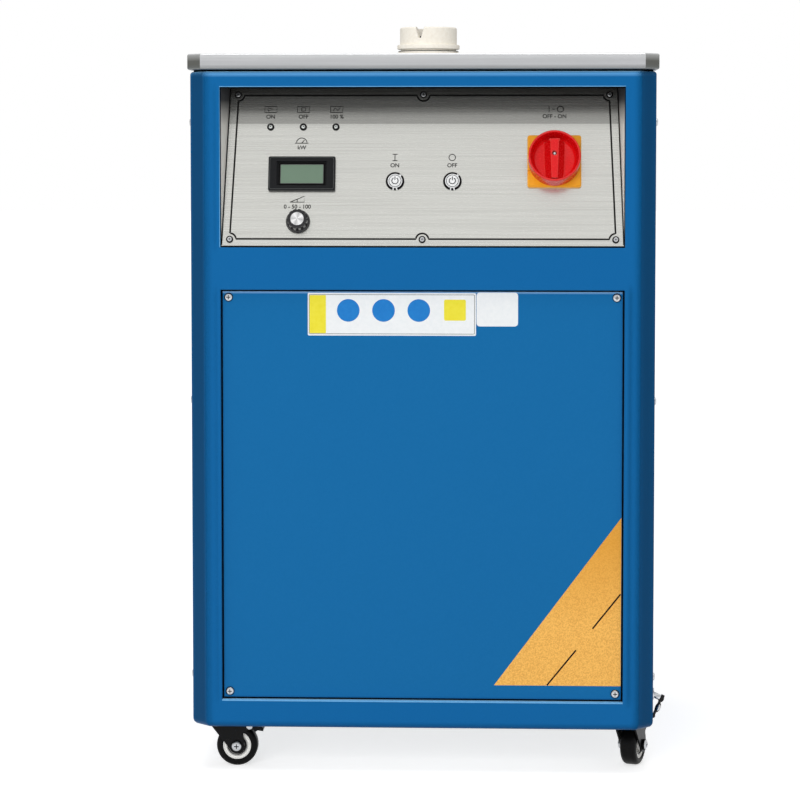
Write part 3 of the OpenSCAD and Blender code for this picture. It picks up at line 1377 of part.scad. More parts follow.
module rear_left_axle() color("#d0d2d4") in_frame() axle(REAR_LEFT);
module rear_right_fork() color("#1c1d1f") in_frame() fork(REAR_RIGHT, false);
module rear_right_tyre() color("#141415") in_frame() tyre(REAR_RIGHT);
module rear_right_hub() color("#d8d6c8") in_frame() hub(REAR_RIGHT);
module rear_right_axle() color("#d0d2d4") in_frame() axle(REAR_RIGHT);

front_frame();
chassis();
left_side_panel();
right_side_panel();
rear_panel();
top_plate();
top_gasket();
control_bay();
control_panel();
control_panel_screws();
access_panel();
cover_screws();
meter_housing();
meter_display();
lamp_bezels();
lamp_lenses();
button_barrels();
start_button();
stop_button();
potentiometer();
regulator_shaft();
regulator_knob();
knob_cap();
switch_plate();
switch_body();
switch_handle();
mouth_collar();
ceramic_sleeve();
graphite_crucible();
coil_shelf();
induction_coil();
transformer();
capacitor_bank();
inverter();
control_board();
cooling_hoses();
fan_frame();
fan_rotor();
water_fittings();
cable_gland();
drain_lever();
caster_plates();
front_left_fork();
front_left_tyre();
front_left_hub();
front_left_axle();
front_left_brake();
front_right_fork();
front_right_tyre();
front_right_hub();
front_right_axle();
front_right_brake();
rear_left_fork();
rear_left_tyre();
rear_left_hub();
rear_left_axle();
rear_right_fork();
rear_right_tyre();
rear_right_hub();
rear_right_axle();
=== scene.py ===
# Induction melting furnace on casters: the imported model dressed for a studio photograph.
import json
import math

import bpy
import bmesh
import numpy as np
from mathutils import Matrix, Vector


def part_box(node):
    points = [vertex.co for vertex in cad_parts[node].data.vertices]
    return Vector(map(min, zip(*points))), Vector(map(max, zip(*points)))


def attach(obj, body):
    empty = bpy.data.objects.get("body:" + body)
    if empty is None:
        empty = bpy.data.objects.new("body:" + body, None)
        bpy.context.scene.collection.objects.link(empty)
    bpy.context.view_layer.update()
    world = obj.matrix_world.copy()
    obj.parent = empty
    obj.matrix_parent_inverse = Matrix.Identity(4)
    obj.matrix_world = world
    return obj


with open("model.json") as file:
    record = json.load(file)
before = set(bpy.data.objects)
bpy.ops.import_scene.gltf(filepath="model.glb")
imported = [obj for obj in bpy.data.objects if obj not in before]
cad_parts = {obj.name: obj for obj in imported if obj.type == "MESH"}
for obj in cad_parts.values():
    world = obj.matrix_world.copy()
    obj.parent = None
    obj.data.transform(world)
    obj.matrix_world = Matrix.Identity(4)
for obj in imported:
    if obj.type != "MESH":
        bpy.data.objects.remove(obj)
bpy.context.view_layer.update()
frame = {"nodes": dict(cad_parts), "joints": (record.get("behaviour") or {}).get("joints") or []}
MM = 0.001


# Camera: it stands a little to the right of the furnace at the height of the control panel
# and looks slightly down and to the left, so that no side wall shows.
front_low, front_high = (np.array(corner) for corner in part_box("front_frame"))
centre_x = (front_low[0] + front_high[0])/2
front_y = front_low[1]
CAMERA_RIGHT = 0.1071
CAMERA_AWAY = 3.2
CAMERA_HEIGHT = 0.7475
LOOK_DOWN = math.radians(3.6)
LOOK_LEFT = math.radians(2.384)
SENSOR = 36
FRAME_PX, FOCAL_PX = 800, 2702.4
LENS = SENSOR*FOCAL_PX/FRAME_PX
FRAME_SHIFT = -0.1

lens = bpy.data.cameras.new("camera")
lens.lens = LENS
lens.sensor_width = SENSOR
lens.shift_y = FRAME_SHIFT
camera = bpy.data.objects.new("camera", lens)
camera.location = (centre_x + CAMERA_RIGHT, front_y - CAMERA_AWAY, CAMERA_HEIGHT)
camera.rotation_euler = (math.pi/2 - LOOK_DOWN, 0, LOOK_LEFT)
bpy.context.collection.objects.link(camera)
bpy.context.scene.camera = camera
bpy.context.scene.view_settings.view_transform = "Standard"


# Studio: a pale matt floor in an even white room, a large soft box in front of the furnace
# a little to the left, and a wide one overhead.
FLOOR_TONES = ((0.8, 0.8, 0.8, 1), (0.82, 0.82, 0.82, 1))
FLOOR_GLOW = (0.6, 0.8)
GLOW_FROM, GLOW_TO = 1.2, 5.0
FLOOR_RINGS = (0, 1, 4, 30)
FLOOR_SIDES = 48
ROOM_LEVEL = 0.42


def grid_mesh(name, grids, wrap=(False, False), sharp=40):
    """One mesh over grids of points (rows, columns, 3), each quad between neighbours; wrap joins the
    last row or column to the first, doubles are merged, and edges over sharp degrees stay crisp."""
    points, quads, start = [], [], 0
    for grid in grids:
        index = start + np.arange(grid.shape[0]*grid.shape[1]).reshape(grid.shape[:2])
        start += index.size
        index = np.vstack([index, index[:1]]) if wrap[0] else index
        index = np.hstack([index, index[:, :1]]) if wrap[1] else index
        corners = [index[:-1, :-1], index[:-1, 1:], index[1:, 1:], index[1:, :-1]]
        quads.append(np.stack(corners, -1).reshape(-1, 4))
        points.append(grid.reshape(-1, 3))
    mesh = bpy.data.meshes.new(name)
    mesh.from_pydata(np.vstack(points).tolist(), [], np.vstack(quads).tolist())
    work = bmesh.new()
    work.from_mesh(mesh)
    bmesh.ops.remove_doubles(work, verts=work.verts, dist=1e-6)
    bmesh.ops.dissolve_degenerate(work, edges=work.edges, dist=1e-7)
    bmesh.ops.recalc_face_normals(work, faces=work.faces)
    work.to_mesh(mesh)
    work.free()
    mesh.polygons.foreach_set("use_smooth", [True]*len(mesh.polygons))
    mesh.set_sharp_from_angle(angle=math.radians(sharp))
    return mesh


def show(name, mesh, material):
    """An object of that mesh, standing at the origin."""
    mesh.materials.append(material)
    thing = bpy.data.objects.new(name, mesh)
    bpy.context.collection.objects.link(thing)
    return thing


def add(tree, kind, settings=(), **inputs):
    """A shader node; settings are its own properties, inputs its sockets: a value or a link."""
    new = tree.nodes.new(kind)
    for key, value in dict(settings).items():
        setattr(new, key, value)
    for key, value in inputs.items():
        socket = new.inputs[int(key[1:])] if key[1:].isdigit() else new.inputs[key.replace("_", " ")]
        if isinstance(value, bpy.types.NodeSocket):
            tree.links.new(value, socket)
        else:
            socket.default_value = value
    return new


def blank_material(name):
    """A node material with nothing in it but its output."""
    material = bpy.data.materials.new(name)
    material.use_nodes = True
    tree = material.node_tree
    tree.nodes.clear()
    return material, tree


def seen_directly(tree):
    """1 for camera, glossy and transmission rays, else 0."""
    path = add(tree, "ShaderNodeLightPath")
    straight = add(tree, "ShaderNodeMath", {"operation": "ADD"}, _0=path.outputs["Is Camera Ray"],
                   _1=path.outputs["Is Glossy Ray"])
    return add(tree, "ShaderNodeMath", {"operation": "ADD", "use_clamp": True},
               _0=straight.outputs[0], _1=path.outputs["Is Transmission Ray"]).outputs[0]


floor_paper, tree = blank_material("floor_paper")
speckle = add(tree, "ShaderNodeTexNoise", Scale=6.0)
tone = add(tree, "ShaderNodeMix", {"data_type": "RGBA"}, _0=speckle.outputs["Fac"],
           _6=FLOOR_TONES[0], _7=FLOOR_TONES[1])
matt = add(tree, "ShaderNodeBsdfDiffuse", Color=tone.outputs[2])
dark = add(tree, "ShaderNodeEmission", Strength=0.0)
away = add(tree, "ShaderNodeVectorMath", {"operation": "LENGTH"},
           _0=add(tree, "ShaderNodeTexCoord").outputs["Object"])
rise = add(tree, "ShaderNodeMapRange", _0=away.outputs["Value"], _1=GLOW_FROM, _2=GLOW_TO,
           _3=FLOOR_GLOW[0], _4=FLOOR_GLOW[1])
glow = add(tree, "ShaderNodeEmission", Strength=rise.outputs[0])
light = add(tree, "ShaderNodeMixShader", _0=seen_directly(tree), _1=dark.outputs[0],
            _2=glow.outputs[0])
both = add(tree, "ShaderNodeAddShader", _0=matt.outputs[0], _1=light.outputs[0])
add(tree, "ShaderNodeOutputMaterial", Surface=both.outputs[0])

around = np.linspace(0, 2*math.pi, FLOOR_SIDES + 1)[:-1]
ring = np.stack([np.cos(around), np.sin(around), 0*around], -1)
floor_rings = ring[None]*np.array(FLOOR_RINGS)[:, None, None]
show("studio_floor", grid_mesh("studio_floor", [floor_rings], wrap=(False, True)),
              floor_paper)

# Each soft box: its place, the point it faces, its width and height, its power, and whether
# polished surfaces mirror it
SOFT_BOXES = {
    "front_box": ((-0.9, -4.4, 1.7), (0, 0, 0.5), 2.4, 2.4, 95, False),
    "top_box": ((0, -0.5, 3.4), (0, 0, 0.8), 2.6, 2.0, 34, True),
}
for name, (place, target, wide, high, power, mirrored) in SOFT_BOXES.items():
    area = bpy.data.lights.new(name, "AREA")
    area.shape = "RECTANGLE"
    area.size, area.size_y, area.energy = wide, high, power
    lamp = bpy.data.objects.new(name, area)
    lamp.location = place
    way = np.array(place) - np.array(target)
    lamp.rotation_euler = (math.acos(way[2]/np.linalg.norm(way)), 0, math.atan2(way[0], -way[1]))
    lamp.visible_glossy = mirrored
    bpy.context.collection.objects.link(lamp)

room = bpy.data.worlds.new("studio")
room.use_nodes = True
tree = room.node_tree
tree.nodes.clear()
strength = add(tree, "ShaderNodeMix", {"data_type": "FLOAT"}, _0=seen_directly(tree),
               _2=ROOM_LEVEL, _3=1.0)
white = add(tree, "ShaderNodeBackground", Color=(1, 1, 1, 1), Strength=strength.outputs[0])
add(tree, "ShaderNodeOutputWorld", Surface=white.outputs[0])
bpy.context.scene.world = room


# Cabinet casing: folded steel sheet, powder coated blue with a faint orange peel. Painted shade
# darkens the bevelled corners, the foot and a band just under the lid; painted highlight lightens
# the brow under the lid, the faces that turn up, such as the sill, and the edges.
def node_group(name, inputs, outputs):
    """An empty shader group with those sockets; returns its tree, its inputs and its output node."""
    group = bpy.data.node_groups.new(name, "ShaderNodeTree")
    for socket, kind, value in inputs:
        made = group.interface.new_socket(name=socket, in_out="INPUT", socket_type=kind)
        if value is not None:
            made.default_value = value
    for socket, kind in outputs:
        group.interface.new_socket(name=socket, in_out="OUTPUT", socket_type=kind)
    entry = group.nodes.new("NodeGroupInput")
    return group, entry.outputs, group.nodes.new("NodeGroupOutput")


# Grain: noise on stretched coordinates, as a mask from 0 to 1
grain, given, out = node_group("grain", [
    ("Vector", "NodeSocketVector", None), ("Scale", "NodeSocketFloat", 100.0),
    ("Contrast", "NodeSocketFloat", 1.0)], [("Mask", "NodeSocketFloat")])
noise = add(grain, "ShaderNodeTexNoise", Vector=given["Vector"], Scale=given["Scale"], Detail=4.0)
centred = add(grain, "ShaderNodeMath", {"operation": "SUBTRACT"}, _0=noise.outputs["Fac"], _1=0.5)
raised = add(grain, "ShaderNodeMath", {"operation": "MULTIPLY"}, _0=centred.outputs[0],
             _1=given["Contrast"])
mask = add(grain, "ShaderNodeMath", {"operation": "ADD", "use_clamp": True}, _0=raised.outputs[0],
           _1=0.5)
grain.links.new(mask.outputs[0], out.inputs["Mask"])

# Edge wear and painted edge highlight: a mask where a rounded normal leaves the true one, broken up by
# noise
edge_wear_and_sheen, given, out = node_group("edge_wear_and_sheen", [
    ("Vector", "NodeSocketVector", None), ("Radius", "NodeSocketFloat", 0.002),
    ("Amount", "NodeSocketFloat", 1.0)], [("Mask", "NodeSocketFloat"), ("Normal", "NodeSocketVector")])
soft = add(edge_wear_and_sheen, "ShaderNodeBevel", {"samples": 6}, Radius=given["Radius"])
true = add(edge_wear_and_sheen, "ShaderNodeNewGeometry")
agree = add(edge_wear_and_sheen, "ShaderNodeVectorMath", {"operation": "DOT_PRODUCT"},
            _0=soft.outputs[0], _1=true.outputs["Normal"])
apart = add(edge_wear_and_sheen, "ShaderNodeMath", {"operation": "SUBTRACT"}, _0=1.0, _1=agree.outputs["Value"])
patchy = add(edge_wear_and_sheen, "ShaderNodeTexNoise", Vector=given["Vector"], Scale=60.0, Detail=3.0)
broken = add(edge_wear_and_sheen, "ShaderNodeMath", {"operation": "MULTIPLY"}, _0=apart.outputs[0],
             _1=patchy.outputs["Fac"])
mask = add(edge_wear_and_sheen, "ShaderNodeMath", {"operation": "MULTIPLY", "use_clamp": True},
           _0=broken.outputs[0], _1=given["Amount"])
edge_wear_and_sheen.links.new(mask.outputs[0], out.inputs["Mask"])
edge_wear_and_sheen.links.new(soft.outputs[0], out.inputs["Normal"])


def srgb(red, green, blue):
    """The linear colour of screen values from 0 to 255."""
    share = np.array([red, green, blue])/255
    return (*np.where(share <= 0.04045, share/12.92, ((share + 0.055)/1.055)**2.4).tolist(), 1)


def finish(name, colour, second, roughness, scale=200.0, stretch=(1, 1, 1), turn=(0, 0, 0),
           contrast=1.5, bump=0.15, depth=0.0002, edge=0.0006, wear_and_sheen=None, wear_amount=3.0,
           rough_swing=0.12, **sockets):
    """A material whose colour swings between two by grain on stretched, turned coordinates, with
    roughness and bump from the same grain, rounded edges, and an edge colour that stands for wear
    and, on some materials, for a painted highlight on the edges."""
    material, tree = blank_material(name)
    shader = add(tree, "ShaderNodeBsdfPrincipled", Specular_IOR_Level=0.2)
    for key, value in sockets.items():
        shader.inputs[key.replace("_", " ")].default_value = value
    place = add(tree, "ShaderNodeTexCoord").outputs["Object"]
    leaned = add(tree, "ShaderNodeMapping", Vector=place, Rotation=turn)
    scaled = add(tree, "ShaderNodeMapping", Vector=leaned.outputs[0], Scale=stretch)
    mask = add(tree, "ShaderNodeGroup", {"node_tree": grain}, Vector=scaled.outputs[0],
               Scale=scale, Contrast=contrast).outputs["Mask"]
    mixed = add(tree, "ShaderNodeMix", {"data_type": "RGBA"}, _0=mask, _6=colour, _7=second)
    edges = add(tree, "ShaderNodeGroup", {"node_tree": edge_wear_and_sheen}, Vector=place, Radius=edge,
                Amount=wear_amount)
    worn = add(tree, "ShaderNodeMix", {"data_type": "RGBA"}, _0=edges.outputs["Mask"],
               _6=mixed.outputs[2], _7=wear_and_sheen or second)
    rough = add(tree, "ShaderNodeMapRange", _0=mask, _3=roughness - rough_swing/2,
                _4=roughness + rough_swing/2)
    raised = add(tree, "ShaderNodeBump", Strength=bump, Distance=depth, Height=mask,
                 Normal=edges.outputs["Normal"])
    tree.links.new(worn.outputs[2], shader.inputs["Base Color"])
    tree.links.new(rough.outputs[0], shader.inputs["Roughness"])
    tree.links.new(raised.outputs[0], shader.inputs["Normal"])
    add(tree, "ShaderNodeOutputMaterial", Surface=shader.outputs[0])
    return material


def dress(material, *nodes):
    """Those CAD nodes show that material."""
    for node in nodes:
        for slot in frame["nodes"][node].material_slots:
            slot.link = "OBJECT"
            slot.material = material


def tint(material, mask, colour):
    """The material's colour turned towards another where the mask is 1."""
    tree = material.node_tree
    socket = tree.nodes["Principled BSDF"].inputs["Base Color"]
    mixed = add(tree, "ShaderNodeMix", {"data_type": "RGBA"}, _0=mask, _6=socket.links[0].from_socket,
                _7=colour)
    tree.links.new(mixed.outputs[2], socket)


def swing(tree, value, start, stop, depth):
    """A mask that rises from 0 to a depth as the value goes from start to stop."""
    return add(tree, "ShaderNodeMapRange", _0=value, _1=start, _2=stop, _3=0.0,
               _4=depth).outputs[0]


def height_at(tree):
    """Height above the floor, in metres."""
    place = add(tree, "ShaderNodeTexCoord").outputs["Object"]
    return add(tree, "ShaderNodeSeparateXYZ", Vector=place).outputs["Z"]


def shade_heights(material, *steps):
    """Tints by height. Each step: the height it is measured from, where above it the tint starts
    and where it is full, in mm, how strong it gets, and its colour."""
    tree = material.node_tree
    for edge, start, stop, depth, colour in steps:
        tint(material, swing(tree, height_at(tree), edge + start*MM, edge + stop*MM, depth), colour)


def rises(tree):
    """How far a surface faces up (1) or down (-1)."""
    normal = add(tree, "ShaderNodeNewGeometry").outputs["Normal"]
    return add(tree, "ShaderNodeSeparateXYZ", Vector=normal).outputs["Z"]


CORNER_FROM, CORNER_FULL = 0.243, 0.247


def corner_mask(tree, radius, start, stop, depth):
    """A mask on the bevelled upright corners: the product of a rounded normal's X and Y, which is
    0 on every flat side, 0.5 on the front left and rear right corners and -0.5 on the others. It
    grows to its depth as that product goes from start to stop, beyond the openings only."""
    place = add(tree, "ShaderNodeTexCoord").outputs["Object"]
    rounded = add(tree, "ShaderNodeGroup", {"node_tree": edge_wear_and_sheen}, Vector=place, Radius=radius,
                  Amount=0.0).outputs["Normal"]
    facing = add(tree, "ShaderNodeSeparateXYZ", Vector=rounded)
    product = add(tree, "ShaderNodeMath", {"operation": "MULTIPLY"}, _0=facing.outputs["X"],
                  _1=facing.outputs["Y"])
    across = add(tree, "ShaderNodeMath", {"operation": "SUBTRACT"}, _1=float(centre_x),
                 _0=add(tree, "ShaderNodeSeparateXYZ", Vector=place).outputs["X"])
    aside = add(tree, "ShaderNodeMath", {"operation": "ABSOLUTE"}, _0=across.outputs[0])
    return add(tree, "ShaderNodeMath", {"operation": "MULTIPLY"},
               _0=swing(tree, product.outputs[0], start, stop, depth),
               _1=swing(tree, aside.outputs[0], CORNER_FROM, CORNER_FULL, 1.0)).outputs[0]


# Painted shade on the bends: how far the normal is rounded, then the mask's start, stop and depth
LEFT_BEND, RIGHT_BEND = (7*MM, 0.14, 0.46, 0.95), (12*MM, -0.01, -0.05, 0.95)
BEND_SHADE_BLUE = srgb(2, 68, 112)
CASING_TOP, CASING_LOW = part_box("front_frame")[1][2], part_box("front_frame")[0][2]
COAT = dict(scale=420.0, contrast=1.2, bump=0.2, depth=0.0001, edge=0.003, wear_amount=1.2,
            Specular_IOR_Level=0.05)
casing_blue = finish("casing_blue", srgb(16, 99, 160), srgb(20, 103, 165), 0.32,
                     wear_and_sheen=srgb(60, 135, 195), **COAT)
tree = casing_blue.node_tree
# Painted light by height: a highlight on the brow under the lid, a shade just under the lid's edge and a
# shade along the foot
shade_heights(casing_blue, (CASING_TOP, -7, -3.4, 0.7, srgb(104, 174, 232)),
              (CASING_TOP, -2.2, -0.6, 0.7, srgb(20, 80, 128)),
              (CASING_LOW, 9, 1, 0.6, srgb(6, 62, 104)))
# Painted highlight on faces that turn up, such as the sill under the door
tint(casing_blue, swing(tree, rises(tree), 0.6, 0.8, 0.8), srgb(150, 208, 246))
# Painted shade on the two front bevelled corners
tint(casing_blue, corner_mask(tree, *LEFT_BEND), BEND_SHADE_BLUE)
tint(casing_blue, corner_mask(tree, *RIGHT_BEND), BEND_SHADE_BLUE)
dress(casing_blue, "front_frame", "left_side_panel", "right_side_panel", "rear_panel")
door_blue = finish("door_blue", srgb(20, 104, 162), srgb(25, 108, 167), 0.34,
                   wear_and_sheen=srgb(80, 150, 205), **COAT)
DOOR_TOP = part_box("access_panel")[1][2]
# Painted highlight along the door's top edge
shade_heights(door_blue, (DOOR_TOP, -3, -0.6, 0.75, srgb(150, 195, 236)))
dress(door_blue, "access_panel")


# Chassis: the tray, corner posts and rails inside that carry the casing, folded from galvanised
# sheet and welded; the zinc is dull, with a cloudy spangle.
galvanised = finish("galvanised", srgb(150, 154, 157), srgb(172, 175, 178), 0.5, scale=90.0,
                    contrast=3.0, Metallic=1.0)
dress(galvanised, "chassis")


# Top plate: a lid of satin stainless steel with its edge folded down; painted shade darkens its
# bevelled corners and the foot of the fold, and a painted highlight lightens the fold near its top;
# it lies on a black rubber seal.
LID_LOW, LID_TOP = (corner[2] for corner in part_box("top_plate"))
lid_steel = finish("lid_steel", srgb(176, 177, 179), srgb(188, 189, 191), 0.36, scale=8.0,
                   stretch=(1, 60, 60), contrast=2.0, bump=0.08, depth=0.00005, edge=0.002,
                   wear_and_sheen=srgb(235, 236, 238), Metallic=0.85)
# Painted shade on the lid's bevelled corners, one mask for each hand of corner
LID_BEND_SHADES = ((0.5*MM, 0.12, 0.46, 1.0), (0.5*MM, -0.12, -0.46, 1.0))
for bend in LID_BEND_SHADES:
    tint(lid_steel, corner_mask(lid_steel.node_tree, *bend), srgb(94, 95, 91))
# Painted highlight towards the top of the folded edge and painted shade along its foot
shade_heights(lid_steel, (LID_TOP, -9, -1, 0.4, srgb(226, 227, 227)),
              (LID_LOW, 6, 0.5, 0.85, srgb(104, 108, 108)))
dress(lid_steel, "top_plate")
# Black rubber for the lid's seal; the same material draws the painted shadows in the gaps
rubber_and_gap_shadow = finish("rubber_and_gap_shadow", srgb(3, 6, 9), srgb(8, 11, 14), 0.8, scale=500.0,
                     Specular_IOR_Level=0.03)
dress(rubber_and_gap_shadow, "top_gasket")


# Control bay and panel: stainless sheet, folded into a recess with a panel brushed from side to
# side, which leans back; its print is a black line near the edge that dips round each screw.
PANEL_TILT = math.radians(15.5)
PANEL_T = 2*MM
PANEL_LENGTH = 194.27*MM
PANEL_HALF_LOW = 239.2*MM
PANEL_HALF_TOP = 232.9*MM
LINE_WIDE = 2.1*MM
NOTCH = 7.6*MM
INK_FOOT, INK_H = -0.02*MM, 0.08*MM
panel_low = np.array(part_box("control_panel")[0])
panel_origin = np.array([centre_x, panel_low[1], panel_low[2] + PANEL_T*math.sin(PANEL_TILT)])
PANEL_UP = np.array([0, math.sin(PANEL_TILT), math.cos(PANEL_TILT)])
PANEL_OUT = np.array([0, -math.cos(PANEL_TILT), math.sin(PANEL_TILT)])


def on_panel(points):
    """Points (u across, v up the slope, h out of the face) in metres, carried to the panel: its
    origin plus u times the X axis, v times the slope's way up and h times the face's normal."""
    return panel_origin + points[..., :1]*[1, 0, 0] + points[..., 1:2]*PANEL_UP \
        + points[..., 2:]*PANEL_OUT


def stroke(path, width, low, high, closed=False):
    """A bar of rectangular section along a flat path (n, 2): each section stands square to the
    path's direction, from height low to high, and the ends of an open path close on a point."""
    ahead = np.roll(path, -1, 0) - np.roll(path, 1, 0)
    if not closed:
        ahead[0], ahead[-1] = path[1] - path[0], path[-1] - path[-2]
    side = np.stack([-ahead[:, 1], ahead[:, 0]], -1)
    side *= width/2/np.linalg.norm(side, axis=1, keepdims=True)
    corners = [(path - side, low), (path - side, high), (path + side, high), (path + side, low)]
    section = np.stack([np.concatenate([flat, np.full((len(path), 1), height)], 1)
                        for flat, height in corners], 1)
    if closed:
        return section
    ends = section.mean(1, keepdims=True).repeat(4, 1)
    return np.concatenate([ends[:1], section, ends[-1:]])


def round_path(cx, cy, radius, start, stop, count):
    """Points on an arc: the centre plus the radius times the cosine and sine of each angle, from
    start to stop in degrees."""
    angle = np.radians(np.linspace(start, stop, count))
    return np.stack([cx + radius*np.cos(angle), cy + radius*np.sin(angle)], -1)


brushed = finish("brushed_panel", srgb(196, 196, 191), srgb(214, 214, 209), 0.24, scale=6.0,
                 stretch=(1, 90, 260), turn=(PANEL_TILT, 0, 0), contrast=2.4, bump=0.03,
                 depth=0.00003, edge=0.0004, Metallic=0.88)
bay_steel = finish("bay_steel", srgb(250, 248, 240), srgb(255, 254, 250), 0.34, scale=6.0,
                   stretch=(40, 40, 1), contrast=2.0, bump=0.08, depth=0.00004)
slope_top = panel_origin[2] + PANEL_LENGTH*math.cos(PANEL_TILT)
# Painted shade and reflection of the bay's dark ceiling on the upper panel: a faint band, a sharp step and
# a darker band at the top
shade_heights(brushed, (slope_top, -50, -44, 0.2, srgb(150, 150, 146)),
              (slope_top, -43, -42, 0.9, srgb(150, 150, 146)),
              (slope_top, -14, -4, 0.65, srgb(52, 52, 50)))
# Painted shade on the bay's cheeks, darker towards the top
shade_heights(bay_steel, (slope_top, -44, -14, 0.94, srgb(16, 24, 40)))
tree = bay_steel.node_tree
# Painted shade on faces that turn down, such as the bay's ceiling
tint(bay_steel, swing(tree, rises(tree), -0.4, -0.8, 1.0), srgb(84, 86, 88))
# Painted shade on the cheeks just inside the opening's front edge
depth = add(tree, "ShaderNodeSeparateXYZ", Vector=add(tree, "ShaderNodeTexCoord").outputs["Object"])
tint(bay_steel, swing(tree, depth.outputs["Y"], front_y + 2.6*MM, front_y + 1.6*MM, 0.8),
     srgb(16, 26, 40))
dress(brushed, "control_panel")
dress(bay_steel, "control_bay")

SCREW_UP, SCREW_DOWN, SCREW_SIDE = 7.6*MM, 8*MM, 10*MM
screw_v_low, screw_v_top = SCREW_UP, PANEL_LENGTH - SCREW_DOWN
screw_u_low, screw_u_top = PANEL_HALF_LOW - SCREW_SIDE, PANEL_HALF_TOP - SCREW_SIDE


def panel_half(v):
    """Half the panel's width at a height v up its slope: it narrows evenly from foot to top."""
    return PANEL_HALF_LOW + (PANEL_HALF_TOP - PANEL_HALF_LOW)*v/PANEL_LENGTH


border = np.concatenate([
    round_path(screw_u_low, screw_v_low, NOTCH, 175, 92, 9),
    round_path(screw_u_top, screw_v_top, NOTCH, 268, 185, 9),
    round_path(0, screw_v_top, NOTCH, 355, 185, 15),
    round_path(-screw_u_top, screw_v_top, NOTCH, 355, 272, 9),
    round_path(-screw_u_low, screw_v_low, NOTCH, 88, 5, 9),
    round_path(0, screw_v_low, NOTCH, 175, 5, 15)])
# Black ink for the print; the same material also draws painted shadows in gaps and rings of painted shade
ink_and_shade = finish("ink_and_shade", srgb(8, 8, 8), srgb(16, 16, 16), 0.5, scale=900.0, bump=0.05, wear_and_sheen=srgb(20, 20, 20),
             Specular_IOR_Level=0.1)
line = show("panel_border", grid_mesh("panel_border", [on_panel(stroke(border, LINE_WIDE, INK_FOOT,
            INK_H, closed=True))], wrap=(True, True)), ink_and_shade)
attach(line, "cabinet")

# Painted shadow in the gap down each slanted side of the panel, as a thin black bar
PANEL_SHADOW_WIDE, PANEL_SHADOW_END, PANEL_SHADOW_FOOT, PANEL_SHADOW_H = 1.3*MM, 1*MM, -0.05*MM, 0.35*MM
side_v = np.linspace(PANEL_SHADOW_END, PANEL_LENGTH - PANEL_SHADOW_END, 12)
gap_shadow_bars = []
for side in (-1, 1):
    edge_u = side*(panel_half(side_v) - PANEL_SHADOW_WIDE/2)
    gap_shadow_bars.append(on_panel(stroke(np.stack([edge_u, side_v], -1), PANEL_SHADOW_WIDE, PANEL_SHADOW_FOOT, PANEL_SHADOW_H)))
panel_gap_shadow = show("panel_gap_shadow", grid_mesh("panel_gap_shadow", gap_shadow_bars, wrap=(False, True)), ink_and_shade)
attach(panel_gap_shadow, "cabinet")

# Painted shadows in the gaps, each a black mitred frame round an opening or a door (left, foot,
# right and top, from the middle and the floor), set in from it by an inset, so wide, on a face of the
# cabinet
door_low, door_high = (np.array(corner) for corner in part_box("access_panel"))
BAY_OPENING = (-240.0*MM, 632.0*MM, 240.0*MM, 822.0*MM)
GAP_SHADOW_H = 1.2*MM
for name, (x0, z0, x1, z1), inset, wide, face in (
        ("bay_gap_shadow", BAY_OPENING, 0.75*MM, 2.1*MM, front_y + 0.1*MM),
        ("door_gap_shadow", (door_low[0] - centre_x, door_low[2], door_high[0] - centre_x, door_high[2]),
         -1*MM, 2.6*MM, door_low[1] - 0.1*MM)):
    x0, z0, x1, z1 = x0 + inset, z0 + inset, x1 - inset, z1 - inset
    bar = stroke(np.array([[x0, z0], [x1, z0], [x1, z1], [x0, z1]]), wide, 0, GAP_SHADOW_H, closed=True)
    placed = np.stack([centre_x + bar[..., 0], face + bar[..., 2], bar[..., 1]], -1)
    gap_shadow = show(name, grid_mesh(name, [placed], wrap=(True, True)), rubber_and_gap_shadow)
    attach(gap_shadow, "cabinet")

# Lips: painted highlights where the rolled edges of the two openings catch the light, a thin light-blue
# bar each
lip_highlight_blue = finish("lip_highlight_blue", srgb(94, 164, 216), srgb(112, 180, 230), 0.3, scale=300.0)
BAY_LIP, DOOR_LIP = 1.0*MM, 1.9*MM
DOOR_HALF, DOOR_LIP_Z = 240.0*MM, 88.0*MM
LIP_FOOT, LIP_H = -0.05*MM, 0.12*MM
lip_left, lip_top = BAY_OPENING[0] - BAY_LIP/2, BAY_OPENING[3] + BAY_LIP/2
for name, path, wide in (
        ("bay_lip_highlight", [[lip_left, BAY_OPENING[1]], [lip_left, lip_top], [BAY_OPENING[2], lip_top]], BAY_LIP),
        ("door_lip_highlight", [[-DOOR_HALF, DOOR_LIP_Z], [DOOR_HALF, DOOR_LIP_Z]], DOOR_LIP)):
    bar = stroke(np.array(path), wide, LIP_FOOT, LIP_H)
    placed = np.stack([centre_x + bar[..., 0], front_y - bar[..., 2], bar[..., 1]], -1)
    lip_highlight = show(name, grid_mesh(name, [placed], wrap=(False, True)), lip_highlight_blue)
    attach(lip_highlight, "cabinet")


# Print on the panel: words and small signs in black ink, screen printed on the brushed steel.
# Each word has its middle on the panel in mm, in sans-serif letters a little fattened.
WORDS = {
    "lamp_on": ("ON", -183.3, 158.9), "lamp_off": ("OFF", -143.8, 158.9),
    "lamp_full": ("100 %", -104.0, 158.9), "meter_unit": ("kW", -145.2, 120.6),
    "regulator_range": ("0 - 50 - 100", -149.2, 47.6), "start_on": ("ON", -33.4, 98.6),
    "stop_off": ("OFF", 35.0, 98.6), "switch_range": ("OFF - ON", 157.0, 159.3)}
WORD_SIZE = 6.8*MM
WORD_BOLD = 0.14*MM


